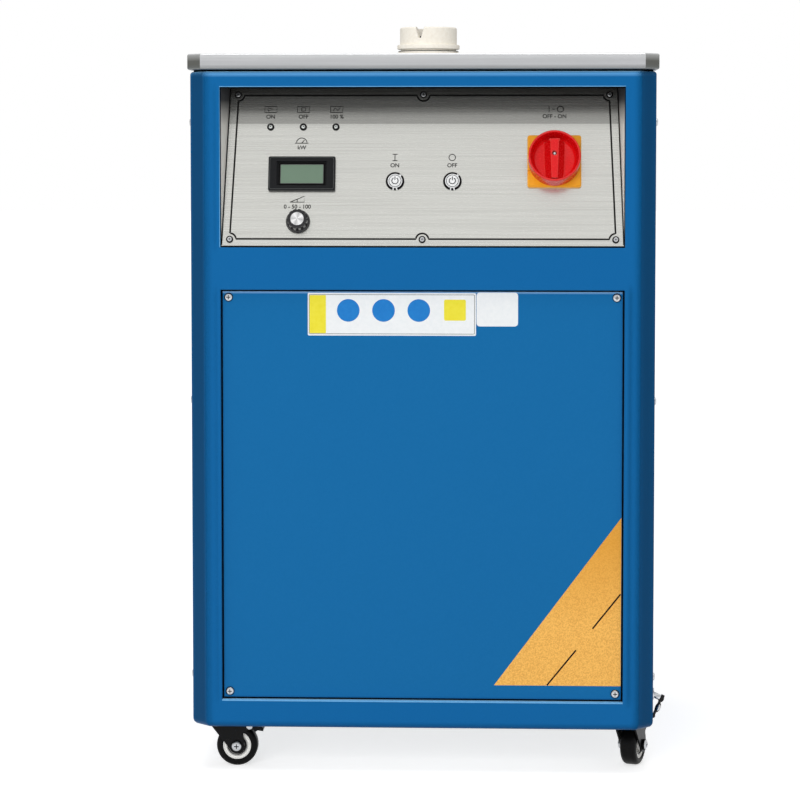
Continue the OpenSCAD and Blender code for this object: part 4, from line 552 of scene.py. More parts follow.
def printed(name, text, u, v):
    """A word lying on the panel, its middle at u, v, made a mesh before it is placed."""
    curve = bpy.data.curves.new(name, "FONT")
    curve.body, curve.size, curve.extrude, curve.offset = text, WORD_SIZE, INK_H/2, WORD_BOLD
    curve.align_x, curve.align_y = "CENTER", "CENTER"
    draft = bpy.data.objects.new(name, curve)
    mesh = bpy.data.meshes.new_from_object(draft)
    bpy.data.objects.remove(draft)
    flat = np.empty(len(mesh.vertices)*3)
    mesh.vertices.foreach_get("co", flat)
    flat = flat.reshape(-1, 3) + [u, v, INK_H/2]
    mesh.vertices.foreach_set("co", on_panel(flat).ravel())
    work = bmesh.new()
    work.from_mesh(mesh)
    bmesh.ops.remove_doubles(work, verts=work.verts, dist=1e-7)
    work.to_mesh(mesh)
    work.free()
    mark = show(name, mesh, ink_and_shade)
    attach(mark, "cabinet")


for name, (word, u, v) in WORDS.items():
    printed(name, word, u*MM, v*MM)

SIGN_WIDE = 0.95*MM


def sign(name, bars):
    """One sign of the panel's print: flat paths (n, 2) in mm, drawn as thin bars."""
    drawn = show(name, grid_mesh(name, [on_panel(stroke(np.asarray(path)*MM, SIGN_WIDE, INK_FOOT, INK_H))
                                        for path in bars], wrap=(False, True)), ink_and_shade)
    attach(drawn, "cabinet")


def box_path(u0, v0, u1, v1):
    """A rectangle in mm as a flat path that ends where it starts."""
    return [[u0, v0], [u1, v0], [u1, v1], [u0, v1], [u0, v0]]


# Signs over the words, in mm on the panel: an arrow in a frame, a square in a frame, a zigzag
# in a frame, a meter's scale, a rising wedge, a bar, a ring, and both with a dash between
sign("work_sign", [box_path(-190.5, 164.4, -176.0, 172.0), [[-186.5, 166.0], [-186.5, 170.4],
                   [-180.5, 168.2], [-186.5, 166.0]]])
sign("stop_sign", [box_path(-151.2, 164.4, -136.6, 172.0), box_path(-146.2, 166.2, -141.6, 170.2)])
sign("limit_sign", [box_path(-111.4, 164.4, -96.8, 172.0),
                    [[-108.6, 166.2], [-105.6, 170.0], [-103.0, 166.6], [-99.6, 170.2]]])
sign("meter_sign", [round_path(-145.4, 126.2, 6.4, 8, 172, 25), [[-145.4, 126.2], [-142.0, 130.2]],
                    [[-153.4, 126.2], [-137.4, 126.2]]])
sign("regulator_sign", [[[-158.0, 53.4], [-141.0, 53.4], [-141.0, 60.6], [-158.0, 53.4]],
                        [[-149.5, 53.4], [-149.5, 57.0]]])
sign("start_sign", [[[-33.4, 104.6], [-33.4, 112.4]], [[-36.4, 104.6], [-30.4, 104.6]],
                    [[-36.4, 112.4], [-30.4, 112.4]]])
sign("halt_sign", [round_path(35.0, 108.5, 3.9, 0, 360, 25)])
sign("switch_sign", [round_path(164.0, 168.4, 3.7, 0, 360, 25), [[150.4, 164.7], [150.4, 172.1]],
                     [[154.0, 168.4], [157.6, 168.4]]])


# Screws: pan heads of bright zinc with a cross recess drawn in painted shade, each ringed by black
# painted shade; six hold the control panel, four the door, and more the side and rear panels.
screw_bright = finish("screw_bright", srgb(176, 178, 180), srgb(200, 201, 203), 0.2, scale=300.0,
                      bump=0.05, edge=0.0005, Metallic=1.0)
dress(screw_bright, "control_panel_screws", "cover_screws")


SLOT_SHARE, SLOT_H = 0.42, 0.06*MM


def cross_recess(centre, normal, across, size):
    """The two slots of a screw's cross recess, drawn as thin bars of painted shade on the head's top:
    each reaches its size to both sides of the centre, and is a share of it wide."""
    up = np.cross(normal, across)
    bars = []
    for ends in ([[-size, 0], [size, 0]], [[0, -size], [0, size]]):
        flat = stroke(np.array(ends), size*SLOT_SHARE, 0, SLOT_H)
        bars.append(centre + flat[..., :1]*across + flat[..., 1:2]*up + flat[..., 2:]*normal)
    return bars


# A direction close to upright that is never along a piece's axis
NEARLY_UP = [0, 0.001, 1]


def turned(centre, axis, profile, start=0, stop=None, count=48):
    """A closed profile (n, 2) of radius and distance, in mm, turned about an axis: the centre, plus
    the radius times two square directions by the angle's cosine and sine, plus the distance along
    the axis. A part of a turn, in degrees from the right, has its two ends closed on a point."""
    side = np.cross(NEARLY_UP, axis)
    side = side/np.linalg.norm(side)
    up = np.cross(axis, side)
    angle = np.radians(np.linspace(start, 360*(1 - 1/count) if stop is None else stop, count))
    angle = angle[:, None, None]
    radius, along = (np.asarray(profile)[None, :, n:n + 1]*MM for n in (0, 1))
    swept = centre + radius*(np.cos(angle)*side + np.sin(angle)*up) + along*axis
    if stop is not None:
        ends = swept.mean(1, keepdims=True).repeat(swept.shape[1], 1)
        swept = np.concatenate([ends[:1], swept, ends[-1:]])
    return swept


CROWN_SHARE = 0.4


def band(inner, outer, low, high):
    """A band from inner to outer radius and from low to high along the axis, as a closed profile in
    mm; its top is half an oval that takes up a share of its height."""
    crown = np.linspace(0, math.pi, 7)
    middle, half = (inner + outer)/2, (outer - inner)/2
    top = np.stack([middle + half*np.cos(crown),
                    high - (high - low)*CROWN_SHARE*(1 - np.sin(crown))], -1)
    return np.concatenate([[[outer, low]], top, [[inner, low]]])


# Dark metal for the painted shade in the screws' cross recesses
recess_dark = finish("recess_dark", srgb(30, 31, 33), srgb(52, 53, 55), 0.5, Metallic=1.0)
# For the panel's and the door's screws: the head's height, half its recess and its ring of painted shade,
# in mm
PANEL_HEAD, PANEL_SLOT, PANEL_SHADE_RING = 2.2, 1.3, band(2.6, 4.2, -2.2, 0.15)
DOOR_HEAD, DOOR_SLOT, DOOR_SHADE_RING = 2.6, 2.5, band(4.3, 5.3, -2.6, -1.3)
ACROSS, FORWARD = np.array([1.0, 0, 0]), np.array([0, -1.0, 0])
recesses, shade_rings = [], []
for u, v in [(-screw_u_top, screw_v_top), (0, screw_v_top), (screw_u_top, screw_v_top),
             (-screw_u_low, screw_v_low), (0, screw_v_low), (screw_u_low, screw_v_low)]:
    top = on_panel(np.array([u, v, PANEL_HEAD*MM]))
    recesses += cross_recess(top, PANEL_OUT, ACROSS, PANEL_SLOT*MM)
    shade_rings.append(turned(top, PANEL_OUT, PANEL_SHADE_RING))
SCREW_IN = 7*MM
for x in (door_low[0] + SCREW_IN, door_high[0] - SCREW_IN):
    for z in (door_low[2] + SCREW_IN, door_high[2] - SCREW_IN):
        top = np.array([x, door_low[1] - DOOR_HEAD*MM, z])
        recesses += cross_recess(top, FORWARD, ACROSS, DOOR_SLOT*MM)
        shade_rings.append(turned(top, FORWARD, DOOR_SHADE_RING))
for name, grids, whole, look, slot in (
        ("screw_recesses", recesses, False, recess_dark, "bright_screw"),
        ("screw_shade_rings", shade_rings, True, ink_and_shade, "black_plastic")):
    piece = show(name, grid_mesh(name, grids, wrap=(whole, True)), look)
    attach(piece, "cabinet")


# Pilot lamps: three small lights pressed into the panel, each with a clear domed lens in a plated
# bezel, a black collar round it and a dark spot in its middle.
LAMP_V = 146.2*MM
LAMP_US = [-183.0*MM, -143.8*MM, -104.6*MM]
plated = finish("plated", srgb(200, 202, 205), srgb(220, 222, 224), 0.18, scale=250.0, bump=0.04,
                edge=0.0004, Metallic=1.0)
lamp_lens = finish("lamp_lens", srgb(226, 232, 226), srgb(246, 249, 246), 0.12, scale=700.0,
                   contrast=3.0, bump=0.3, Coat_Weight=0.6)
dress(plated, "lamp_bezels")
dress(lamp_lens, "lamp_lenses")


def ring_grid(u, v, profile, **arc):
    """A closed profile of radius and height in mm, turned about an axis square to the panel."""
    return turned(on_panel(np.array([u, v, 0.0])), PANEL_OUT, profile, **arc)


def rings(name, grids, material, body, whole=True):
    """Rings on the panel as one piece that rides a body."""
    drawn = show(name, grid_mesh(name, grids, wrap=(whole, True)), material)
    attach(drawn, body)


# Black enamel; the same material also draws painted shade and painted dark reflections
enamel_and_shade = finish("black_enamel_and_shade", srgb(5, 5, 6), srgb(11, 11, 12), 0.3, scale=600.0, bump=0.05,
                Specular_IOR_Level=0.08)
LAMP_COLLAR, LAMP_SPOT = band(2.35, 4.3, 0.0, 2.3), band(0.02, 0.75, 2.5, 3.0)
rings("lamp_collars", [ring_grid(u, LAMP_V, shape) for shape in (LAMP_COLLAR, LAMP_SPOT)
                       for u in LAMP_US], enamel_and_shade, "cabinet")


# Panel meter: a black moulded bezel, clipped into the panel, round a grey-green liquid crystal
# display; the display is set back behind a mask, and thin grey lines on the bezel's bevel and round the
# display are painted highlights.
meter_black = finish("meter_black", srgb(20, 21, 22), srgb(30, 31, 33), 0.4, scale=600.0,
                     edge=0.0008, wear_and_sheen=srgb(80, 82, 85), wear_amount=2.0,
                     Specular_IOR_Level=0.12)
display_green = finish("display_green", srgb(100, 125, 105), srgb(110, 134, 114), 0.25, scale=30.0,
                       contrast=1.0, bump=0.02, Coat_Weight=0.5)
dress(meter_black, "meter_housing")
dress(display_green, "meter_display")
METER_U, METER_V, METER_W, METER_H = -144.3*MM, 87.5*MM, 80*MM, 42*MM
METER_TOP = 6*MM
RIM_IN, RIM_WIDE = 3.6*MM, 0.35*MM
RIM_FOOT, RIM_TOP = METER_TOP - 0.1*MM, METER_TOP + 0.06*MM
RIM_ROUND, MASK_ROUND = 2*MM, 0.5*MM
MASK_SIZE, MASK_WIDE, MASK_TOP = (53.4*MM, 25.4*MM), 2.2*MM, 2.5*MM
EDGE_SIZE, EDGE_WIDE, EDGE_TOP = (51.0*MM, 23.0*MM), 0.5*MM, 2.55*MM
DISPLAY_H = 1.6*MM


def frame_path(wide, high, radius):
    """A rounded rectangle round the meter's middle as a closed flat path, anticlockwise."""
    u, v = METER_U + wide/2 - radius, METER_V + high/2 - radius
    u2, v2 = METER_U - wide/2 + radius, METER_V - high/2 + radius
    return np.concatenate([round_path(u, v, radius, 0, 90, 7), round_path(u2, v, radius, 90, 180, 7),
                           round_path(u2, v2, radius, 180, 270, 7),
                           round_path(u, v2, radius, 270, 360, 7)])


# Painted highlights: a thin grey line on the bezel's bevel and one round the display
rim_highlight_grey = finish("rim_highlight_grey", srgb(96, 99, 98), srgb(120, 123, 121), 0.3, scale=300.0)
rim_highlight_bar = stroke(frame_path(METER_W - RIM_IN, METER_H - RIM_IN, RIM_ROUND), RIM_WIDE, RIM_FOOT,
                 RIM_TOP, closed=True)
mask_bar = stroke(frame_path(*MASK_SIZE, MASK_ROUND), MASK_WIDE, DISPLAY_H, MASK_TOP, closed=True)
edge_highlight_bar = stroke(frame_path(*EDGE_SIZE, MASK_ROUND), EDGE_WIDE, DISPLAY_H, EDGE_TOP, closed=True)
for name, bar, look in (("meter_rim", rim_highlight_bar, rim_highlight_grey), ("display_mask", mask_bar, enamel_and_shade),
                        ("display_edge_highlight", edge_highlight_bar, rim_highlight_grey)):
    edging = show(name, grid_mesh(name, [on_panel(bar)], wrap=(True, True)), look)
    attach(edging, "cabinet")


# Power regulator: a glossy black fluted knob with a spun aluminium cap; the potentiometer's
# can hides behind the panel.
KNOB_U, KNOB_V, CAP_H = -148*MM, 29.3*MM, 15*MM
knob_black = finish("knob_black", srgb(14, 14, 15), srgb(26, 26, 28), 0.22, scale=500.0, edge=0.0005,
                    wear_and_sheen=srgb(120, 122, 125), wear_amount=1.5, Coat_Weight=0.5)
dress(knob_black, "regulator_knob")
spun, tree = blank_material("spun_cap")
shader = add(tree, "ShaderNodeBsdfPrincipled", Metallic=1.0)
place = add(tree, "ShaderNodeTexCoord").outputs["Object"]
cap_centre = on_panel(np.array([KNOB_U, KNOB_V, CAP_H]))
centred = add(tree, "ShaderNodeVectorMath", {"operation": "SUBTRACT"}, _0=place,
              _1=tuple(cap_centre.tolist()))
upright = add(tree, "ShaderNodeMapping", Vector=centred.outputs[0],
              Rotation=(PANEL_TILT - math.pi/2, 0, 0))
# Painted reflections: light and dark sectors round the cap's middle stand for the spun metal's highlights
around = add(tree, "ShaderNodeTexGradient", {"gradient_type": "RADIAL"}, Vector=upright.outputs[0])
glint_sectors = add(tree, "ShaderNodeValToRGB", Fac=around.outputs["Fac"])
SPUN_GLINTS = [(0, 0.55), (0.09, 0.95), (0.2, 0.5), (0.33, 0.92), (0.46, 0.5), (0.58, 0.96),
           (0.7, 0.52), (0.84, 0.93), (1, 0.55)]
ramp = glint_sectors.color_ramp
for stop, level in SPUN_GLINTS[1:-1]:
    ramp.elements.new(stop)
for element, (stop, level) in zip(ramp.elements, SPUN_GLINTS):
    element.position, element.color = stop, (level, level, level, 1)
turned_rings = add(tree, "ShaderNodeTexWave", {"wave_type": "RINGS", "rings_direction": "Z"},
                   Vector=upright.outputs[0], Scale=900.0)
cut = add(tree, "ShaderNodeBump", Strength=0.3, Distance=0.00005, Height=turned_rings.outputs["Fac"])
rough = add(tree, "ShaderNodeMapRange", _0=turned_rings.outputs["Fac"], _3=0.2, _4=0.32)
tree.links.new(glint_sectors.outputs["Color"], shader.inputs["Base Color"])
tree.links.new(rough.outputs[0], shader.inputs["Roughness"])
tree.links.new(cut.outputs[0], shader.inputs["Normal"])
add(tree, "ShaderNodeOutputMaterial", Surface=shader.outputs[0])
dress(spun, "knob_cap")
dress(plated, "regulator_shaft", "potentiometer")


# Push-buttons: polished steel barrels held by nuts behind the panel, with heads that press in.
# Each has a black ring of painted dark reflection in three arcs, whose gaps stand for highlights,
# a fine gap round its head, and a standby sign on it.
BUTTON_V = 79.1*MM
BUTTON_US = {"start_button": -33.0*MM, "stop_button": 35.4*MM}
HEAD_H, HEAD_GAP = 2.6*MM, band(6.7, 7.4, 2.3, 2.75)
STANDBY_R, STANDBY_WIDE, STANDBY_BAR = 3.7*MM, 1.1*MM, (0.8*MM, 5.2*MM)
STANDBY_FOOT, STANDBY_TOP = HEAD_H - 0.05*MM, HEAD_H + 0.06*MM
REFLECTION_ARCS = ((56, 254), (262, 278), (286, 400))
RIM_REFLECTION = [[11.1, 0.3], [11.1, 1.1], [10.6, 1.9], [9.8, 2.4], [9.0, 2.4], [8.7, 2.2], [8.7, 1.8]]
button_steel = finish("button_steel", srgb(228, 229, 229), srgb(246, 247, 247), 0.24, scale=400.0,
                      bump=0.05, edge=0.0006, wear_and_sheen=srgb(250, 250, 250), Metallic=0.5)
dress(button_steel, "button_barrels", "start_button", "stop_button")
sign_grey = finish("sign_grey", srgb(52, 54, 57), srgb(70, 72, 76), 0.4, scale=700.0)
for body, u in BUTTON_US.items():
    rings(body + "_rim", [ring_grid(u, BUTTON_V, RIM_REFLECTION, start=start, stop=stop)
                          for start, stop in REFLECTION_ARCS], enamel_and_shade, "cabinet", whole=False)
    rings(body + "_seam", [ring_grid(u, BUTTON_V, HEAD_GAP)], sign_grey, body)
    bars = [stroke(path, STANDBY_WIDE, STANDBY_FOOT, STANDBY_TOP) for path in (
        round_path(u, BUTTON_V, STANDBY_R, 120, 420, 30),
        np.array([[u, BUTTON_V + reach] for reach in STANDBY_BAR]))]
    standby = show(body + "_standby", grid_mesh(body + "_standby", [on_panel(bar) for bar in bars],
                                                wrap=(False, True)), sign_grey)
    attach(standby, body)


# Main switch: a yellow square plate and a red rotary handle, both moulded; the isolator
# itself is a dark block behind the panel.
switch_yellow = finish("switch_yellow", srgb(232, 160, 26), srgb(242, 172, 42), 0.38, scale=500.0,
                       edge=0.0008, wear_and_sheen=srgb(255, 205, 100), Coat_Weight=0.2)
# Its pale pink edge colour is a painted highlight on the rim's edges
handle_red = finish("handle_red", srgb(214, 8, 14), srgb(224, 14, 20), 0.26, scale=500.0,
                    edge=0.0015, wear_and_sheen=srgb(252, 116, 104), wear_amount=4.0, Specular_IOR_Level=0.35)
black_moulding = finish("black_moulding", srgb(24, 25, 26), srgb(36, 37, 39), 0.5, scale=500.0)
dress(switch_yellow, "switch_plate")
dress(handle_red, "switch_handle")
dress(black_moulding, "switch_body")
SWITCH_U, SWITCH_V = 156.6*MM, 106*MM
GRIP_SCREW = [[2.5, 27.0], [2.5, 27.6], [2.1, 28.2], [1.3, 28.7], [0.02, 28.9], [0.02, 27.0]]
rings("grip_screw", [ring_grid(SWITCH_U, SWITCH_V, GRIP_SCREW)], screw_bright, "main_switch")


# Labels on the access panel: a white strip with plain colour fields, a bare white plate and a
# gold corner with one thin line in two parts; all are printed film, stuck on flat.
FILM_T = 0.25*MM
PRINT_TOP = FILM_T + 0.05*MM
LINE_TOP = FILM_T + 0.06*MM
# Outlines: left, foot, right and top, from the cabinet's middle and the floor, and corner radius
STRIP = (-136.3*MM, 526.9*MM, 64.0*MM, 577.8*MM, 1.5*MM)
STRIP_LINE = (-134.6*MM, 529.0*MM, 62.2*MM, 575.7*MM, 1*MM)
BLOCK = (-134.2*MM, 529.6*MM, -114.6*MM, 575.1*MM, 1*MM)
SQUARE = (26*MM, 545*MM, 52*MM, 570*MM, 2*MM)
PLATE = (64.6*MM, 538.2*MM, 113.9*MM, 578.6*MM, 4*MM)
STRIP_LINE_WIDE = 0.5*MM
DISC_XS, DISC_Z, DISC_R, DISC_SIDES = (-88*MM, -46*MM, -4*MM), 557*MM, 13.5*MM, 48
CORNER = np.array([[86.3, 107.5], [237.6, 107.5], [237.6, 310.1]])*MM
CORNER_LINES = (((149.6, 107.9), (184.2, 150.6)), ((203.8, 176.6), (237.0, 218.4)))
CORNER_LINE_WIDE = 1.9*MM


def on_door(points):
    """Points (x across, z up, h out of the door) in metres, from the cabinet's middle and the
    floor, carried to the door's face."""
    return np.stack([centre_x + points[..., 0], door_low[1] - points[..., 2], points[..., 1]], -1)


def round_corners(x0, z0, x1, z1, radius, count=6):
    """The outline of a rectangle with round corners, anticlockwise."""
    return np.concatenate([round_path(x1 - radius, z1 - radius, radius, 0, 90, count),
                           round_path(x0 + radius, z1 - radius, radius, 90, 180, count),
                           round_path(x0 + radius, z0 + radius, radius, 180, 270, count),
                           round_path(x1 - radius, z0 + radius, radius, 270, 360, count)])


def film(name, outline, low, high, material):
    """A thin sheet of that outline: rings at the foot, the top and the middle of each face."""
    middle = np.broadcast_to(outline.mean(0), outline.shape)
    layers = [(middle, low), (outline, low), (outline, high), (middle, high)]
    grid = np.stack([np.concatenate([flat, np.full((len(flat), 1), height)], 1)
                     for flat, height in layers])
    sheet = show(name, grid_mesh(name, [on_door(grid)], wrap=(False, True), sharp=30), material)
    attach(sheet, "cabinet")


film_white = finish("film_white", srgb(232, 236, 238), srgb(242, 244, 245), 0.35, scale=250.0,
                    bump=0.03, edge=0.0002)
film_yellow = finish("film_yellow", srgb(234, 220, 48), srgb(240, 228, 70), 0.35, scale=250.0,
                     bump=0.03, edge=0.0002)
film_blue = finish("film_blue", srgb(24, 118, 196), srgb(34, 128, 204), 0.35, scale=250.0,
                   bump=0.03, edge=0.0002)
film("label_strip", round_corners(*STRIP), 0, FILM_T, film_white)
film("label_block", round_corners(*BLOCK), FILM_T, PRINT_TOP, film_yellow)
for number, x in enumerate(DISC_XS):
    film("label_disc_%d" % number, round_path(x, DISC_Z, DISC_R, 0, 360 - 360/DISC_SIDES, DISC_SIDES),
         FILM_T, PRINT_TOP, film_blue)
label_line = stroke(round_corners(*STRIP_LINE), STRIP_LINE_WIDE, FILM_T, LINE_TOP, closed=True)
label_frame = show("label_frame", grid_mesh("label_frame", [on_door(label_line)], wrap=(True, True)), ink_and_shade)
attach(label_frame, "cabinet")
film("label_square", round_corners(*SQUARE), FILM_T, PRINT_TOP, film_yellow)
film("label_plate", round_corners(*PLATE), 0, FILM_T, film_white)

gold, tree = blank_material("gold_foil")
shader = add(tree, "ShaderNodeBsdfPrincipled", Metallic=0.2)
place = add(tree, "ShaderNodeTexCoord").outputs["Object"]
flecks = add(tree, "ShaderNodeTexNoise", Vector=place, Scale=700.0, Detail=2.0)
fleck_tone = add(tree, "ShaderNodeValToRGB", Fac=flecks.outputs["Fac"])
for element, stop, colour in zip(fleck_tone.color_ramp.elements, (0.35, 0.62),
                                 (srgb(222, 160, 68), srgb(247, 189, 91))):
    element.position, element.color = stop, colour
rough = add(tree, "ShaderNodeMapRange", _0=flecks.outputs["Fac"], _3=0.3, _4=0.6)
raised = add(tree, "ShaderNodeBump", Strength=0.3, Distance=0.0001, Height=flecks.outputs["Fac"])
tree.links.new(fleck_tone.outputs["Color"], shader.inputs["Base Color"])
tree.links.new(rough.outputs[0], shader.inputs["Roughness"])
tree.links.new(raised.outputs[0], shader.inputs["Normal"])
add(tree, "ShaderNodeOutputMaterial", Surface=shader.outputs[0])
shade_heights(gold, (0, 180, 280, 0.7, srgb(214, 144, 20)))
film("corner_foil", CORNER, 0, FILM_T, gold)
for number, ends in enumerate(CORNER_LINES):
    stripe = show("corner_stripe_%d" % number, grid_mesh("corner_stripe_%d" % number, [
        on_door(stroke(np.array(ends)*MM, CORNER_LINE_WIDE, FILM_T, PRINT_TOP))],
        wrap=(False, True)), ink_and_shade)
    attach(stripe, "cabinet")


# Furnace mouth: fired white ceramic collar and sleeve with a fine gritty skin, and the dark
# graphite crucible that stands in it, inside the copper coil on its insulating shelf.
ceramic = finish("ceramic", srgb(243, 236, 222), srgb(252, 247, 236), 0.75, scale=260.0, contrast=2.0,
                 bump=0.3, depth=0.0002, edge=0.0015, wear_and_sheen=srgb(255, 252, 245))
# Graphite for the crucible; the same material draws a ring of painted shadow at the mouth
graphite = finish("graphite", srgb(48, 49, 52), srgb(70, 71, 74), 0.55, scale=300.0, contrast=2.5,
                  bump=0.3, Metallic=0.3)
laminate = finish("laminate", srgb(150, 108, 60), srgb(178, 132, 78), 0.5, scale=40.0,
                  stretch=(1, 8, 1), contrast=2.5)
copper = finish("copper", srgb(184, 104, 62), srgb(206, 128, 82), 0.28, scale=60.0, contrast=2.5,
                bump=0.05, Metallic=1.0)
dress(ceramic, "mouth_collar", "ceramic_sleeve")
collar_low, collar_top = (np.array(corner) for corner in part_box("mouth_collar"))
MOUTH = np.array([(collar_low[0] + collar_top[0])/2, (collar_low[1] + collar_top[1])/2, collar_top[2]])
# Painted shadow: a dark ring at the joint under the sleeve's flange
MOUTH_SHADOW = band(36.4, 38.2, -0.1, 0.5)
mouth_shadow = show("mouth_shadow", grid_mesh("mouth_shadow", [
    turned(MOUTH, np.array([0.0, 0, 1]), MOUTH_SHADOW)], wrap=(True, True)), graphite)
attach(mouth_shadow, "cabinet")
dress(graphite, "graphite_crucible")
dress(laminate, "coil_shelf")
dress(copper, "induction_coil")


# Power stage inside the cabinet: a lacquered laminated transformer, gold-coloured capacitors, an
# inverter on a milled aluminium heatsink and a green control board, all bolted to the chassis
core_lacquer = finish("core_lacquer", srgb(86, 76, 62), srgb(108, 96, 80), 0.5, scale=30.0,
                      stretch=(1, 1, 20), contrast=2.5)
capacitor_gold = finish("capacitor_gold", srgb(196, 158, 84), srgb(214, 178, 104), 0.4, scale=60.0)
milled = finish("milled", srgb(176, 180, 183), srgb(198, 201, 204), 0.35, scale=10.0,
                stretch=(1, 40, 40), contrast=2.0, Metallic=0.9)
board_green = finish("board_green", srgb(24, 92, 56), srgb(34, 112, 68), 0.35, scale=160.0,
                     contrast=3.0, Coat_Weight=0.3)
dress(core_lacquer, "transformer")
dress(capacitor_gold, "capacitor_bank")
dress(milled, "inverter")
dress(board_green, "control_board")


# Cooling: blue rubber hoses pushed on to chrome-plated spigots and the drain cock, a moulded
# black fan behind the rear panel, the cable gland beside it, and the cock's black lever
hose_blue = finish("hose_blue", srgb(52, 84, 140), srgb(64, 98, 156), 0.5, scale=180.0)
dress(hose_blue, "cooling_hoses")
# Painted reflections: dark and light streaks along each fitting
chrome = finish("chrome", srgb(118, 121, 126), srgb(206, 208, 211), 0.14, scale=220.0,
                stretch=(0.2, 1, 1), contrast=3.5, bump=0.05, edge=0.0005, Metallic=1.0)
dress(chrome, "water_fittings")
fan_black = finish("fan_black", srgb(26, 27, 29), srgb(40, 41, 43), 0.45, scale=400.0)
dress(fan_black, "fan_frame", "fan_rotor", "cable_gland")
lever_black = finish("lever_black", srgb(14, 14, 15), srgb(26, 26, 27), 0.35, scale=500.0,
                     edge=0.0008, wear_and_sheen=srgb(70, 70, 72))
dress(lever_black, "drain_lever")


# Casters: zinc plates that carry black stamped forks, black rubber tyres on cream moulded hubs
# with grooves darkened by painted shade and fine beads on both faces, and a bright axle bolt ringed
# by painted shade, its recess drawn in painted shade; the front two have pedals that brake them.
caster_plate = finish("caster_plate", srgb(92, 94, 98), srgb(118, 120, 124), 0.4, scale=120.0,
                      Metallic=0.9)
fork_black = finish("fork_black", srgb(6, 6, 7), srgb(12, 12, 13), 0.3, scale=300.0, edge=0.0008,
                    wear_and_sheen=srgb(60, 62, 64), wear_amount=2.0, Specular_IOR_Level=0.12)
tyre_black = finish("tyre_black", srgb(5, 5, 6), srgb(12, 12, 12), 0.4, scale=400.0, edge=0.0004,
                    Specular_IOR_Level=0.1)
hub_cream = finish("hub_cream", srgb(246, 245, 240), srgb(253, 252, 249), 0.3, scale=200.0,
                   edge=0.0006)
# Painted shade for the hubs' grooves
groove_shade = finish("groove_shade", srgb(10, 10, 10), srgb(20, 20, 20), 0.35, scale=300.0)
dress(caster_plate, "caster_plates")
for corner in ("front_left", "front_right", "rear_left", "rear_right"):
    dress(fork_black, corner + "_fork")
    dress(tyre_black, corner + "_tyre")
    dress(hub_cream, corner + "_hub")
    dress(screw_bright, corner + "_axle")
dress(fork_black, "front_left_brake", "front_right_brake")


# Distances along the axle from the wheel's middle, in mm: the hub's face, the fork's cheek and the
# bolt's head; then bands on the hub, dark ones of painted shade in the grooves and cream beads
# (inner and outer radius, foot and top from its face)
HUB_FACE, CHEEK_FACE, BOLT_HEAD = 8.5, 13.2, 17.7
# The bolt's recess half-size, then a black ring of painted shade round its head
BOLT_SLOT, BOLT_SHADE_RING = 2.9, band(5.2, 6.7, CHEEK_FACE + 0.05, CHEEK_FACE + 2.9)
HUB_BANDS = (("hub_groove_shades", groove_shade, ((11.3, 13.4, -1.4, 0.12), (7.05, 11.4, -3.4, -2.6))),
             ("hub_beads", hub_cream, ((8.0, 8.6, -3.0, -2.2), (12.0, 12.5, -0.3, 0.25))))
joints = {joint["name"]: joint for joint in frame["joints"]}
for corner in ("front_left", "front_right", "rear_left", "rear_right"):
    centre, axis = (np.array(joints[corner + "_wheel_roll"][key], float) for key in ("pos_m", "axis"))
    for name, look, bands in HUB_BANDS:
        grids = [turned(centre, outward, band(inner, outer, HUB_FACE + low, HUB_FACE + high))
                 for outward in (axis, -axis) for inner, outer, low, high in bands]
        piece = show(corner + "_" + name, grid_mesh(corner + "_" + name, grids, wrap=(True, True)), look)
        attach(piece, corner + "_wheel")
    slots = cross_recess(centre - axis*BOLT_HEAD*MM, -axis, np.array([-axis[1], axis[0], 0]),
                         BOLT_SLOT*MM)
    bolt_shade = [turned(centre, -axis, BOLT_SHADE_RING)]
    for name, grids, whole, look, slot in (("recess", slots, False, recess_dark, "bright_screw"),
                                           ("bolt_shade_ring", bolt_shade, True, enamel_and_shade, "caster_black")):
        piece = show(corner + "_" + name, grid_mesh(corner + "_" + name, grids, wrap=(whole, True)), look)
        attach(piece, corner + "_swivel")

CENTRE_HOLE = 0.02


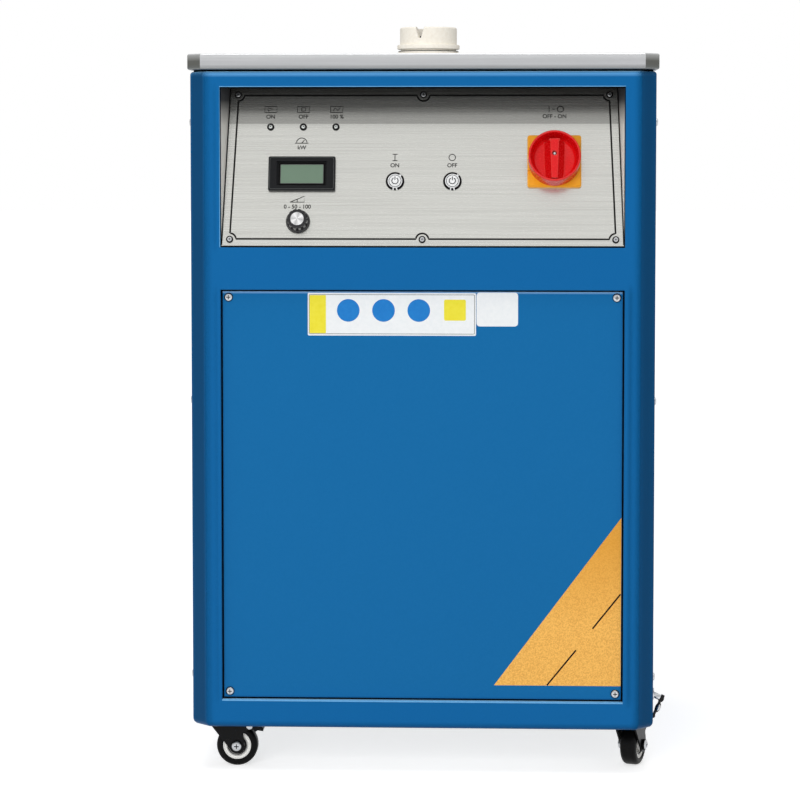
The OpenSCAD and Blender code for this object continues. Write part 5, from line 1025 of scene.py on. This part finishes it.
def dome(outer, low, high, start=0.0):
    """A domed disc, or from start -90 degrees a ball or an egg, as a closed profile in mm round a
    hair-fine hole: the radius goes with the cosine of an angle up to 90 degrees, and the height
    with its sine."""
    turn = np.linspace(math.radians(start), math.pi/2, 9)
    rise = (high - low)/(1 - math.sin(turn[0]))
    skin = np.stack([CENTRE_HOLE + (outer - CENTRE_HOLE)*np.cos(turn),
                     high - rise*(1 - np.sin(turn))], -1)
    return np.concatenate([skin, [[CENTRE_HOLE, low]]])


# Brake pivots: domed rivet heads of bright steel on both cheeks of the front forks; the pedals
# turn with them
RIVET = dome(4.2, CHEEK_FACE + 0.05, CHEEK_FACE + 2.4)
for corner in ("front_left", "front_right"):
    pivot, axis = (np.array(joints[corner + "_brake_press"][key], float) for key in ("pos_m", "axis"))
    heads = [turned(pivot, outward, RIVET) for outward in (axis, -axis)]
    piece = show(corner + "_rivets", grid_mesh(corner + "_rivets", heads, wrap=(True, True)),
                 screw_bright)
    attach(piece, corner + "_pedal")


# Drain cock's lever: a black pivot cap, saddle and foot, and a bright grip between them, pressed
# together on the cock's spindle; it lies on the right side wall and turns out from it.
LEVER, LEVER_AXIS = (np.array(joints["drain_lever_turn"][key], float) for key in ("pos_m", "axis"))
LEVER_WAY = np.array([LEVER_AXIS[2], 0, -LEVER_AXIS[0]])
# Each part: its material, how far out, down the lever and ahead its middle is, in mm, the axis
# that it is turned about, and its profile
lever_parts = (("lever_cap", lever_black, 1.5, 1, 0, LEVER_AXIS, dome(3.9, -3.9, 3.9, -90)),
               ("lever_foot", lever_black, 1.5, 24, 0, LEVER_AXIS, dome(2.8, -2.8, 2.8, -90)),
               ("lever_saddle", lever_black, 2.2, 12, -2, LEVER_WAY, dome(3.4, -6.5, 6.5, -90)),
               ("lever_grip", screw_bright, 2.8, 11.5, -4.2, LEVER_WAY, dome(2.2, -4.2, 4.2, -90)))
for name, look, out, down, ahead, axis, profile in lever_parts:
    centre = LEVER + (LEVER_AXIS*out + LEVER_WAY*down + np.array([0, ahead, 0]))*MM
    piece = show(name, grid_mesh(name, [turned(centre, axis, profile)], wrap=(True, True)), look)
    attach(piece, "drain_lever")
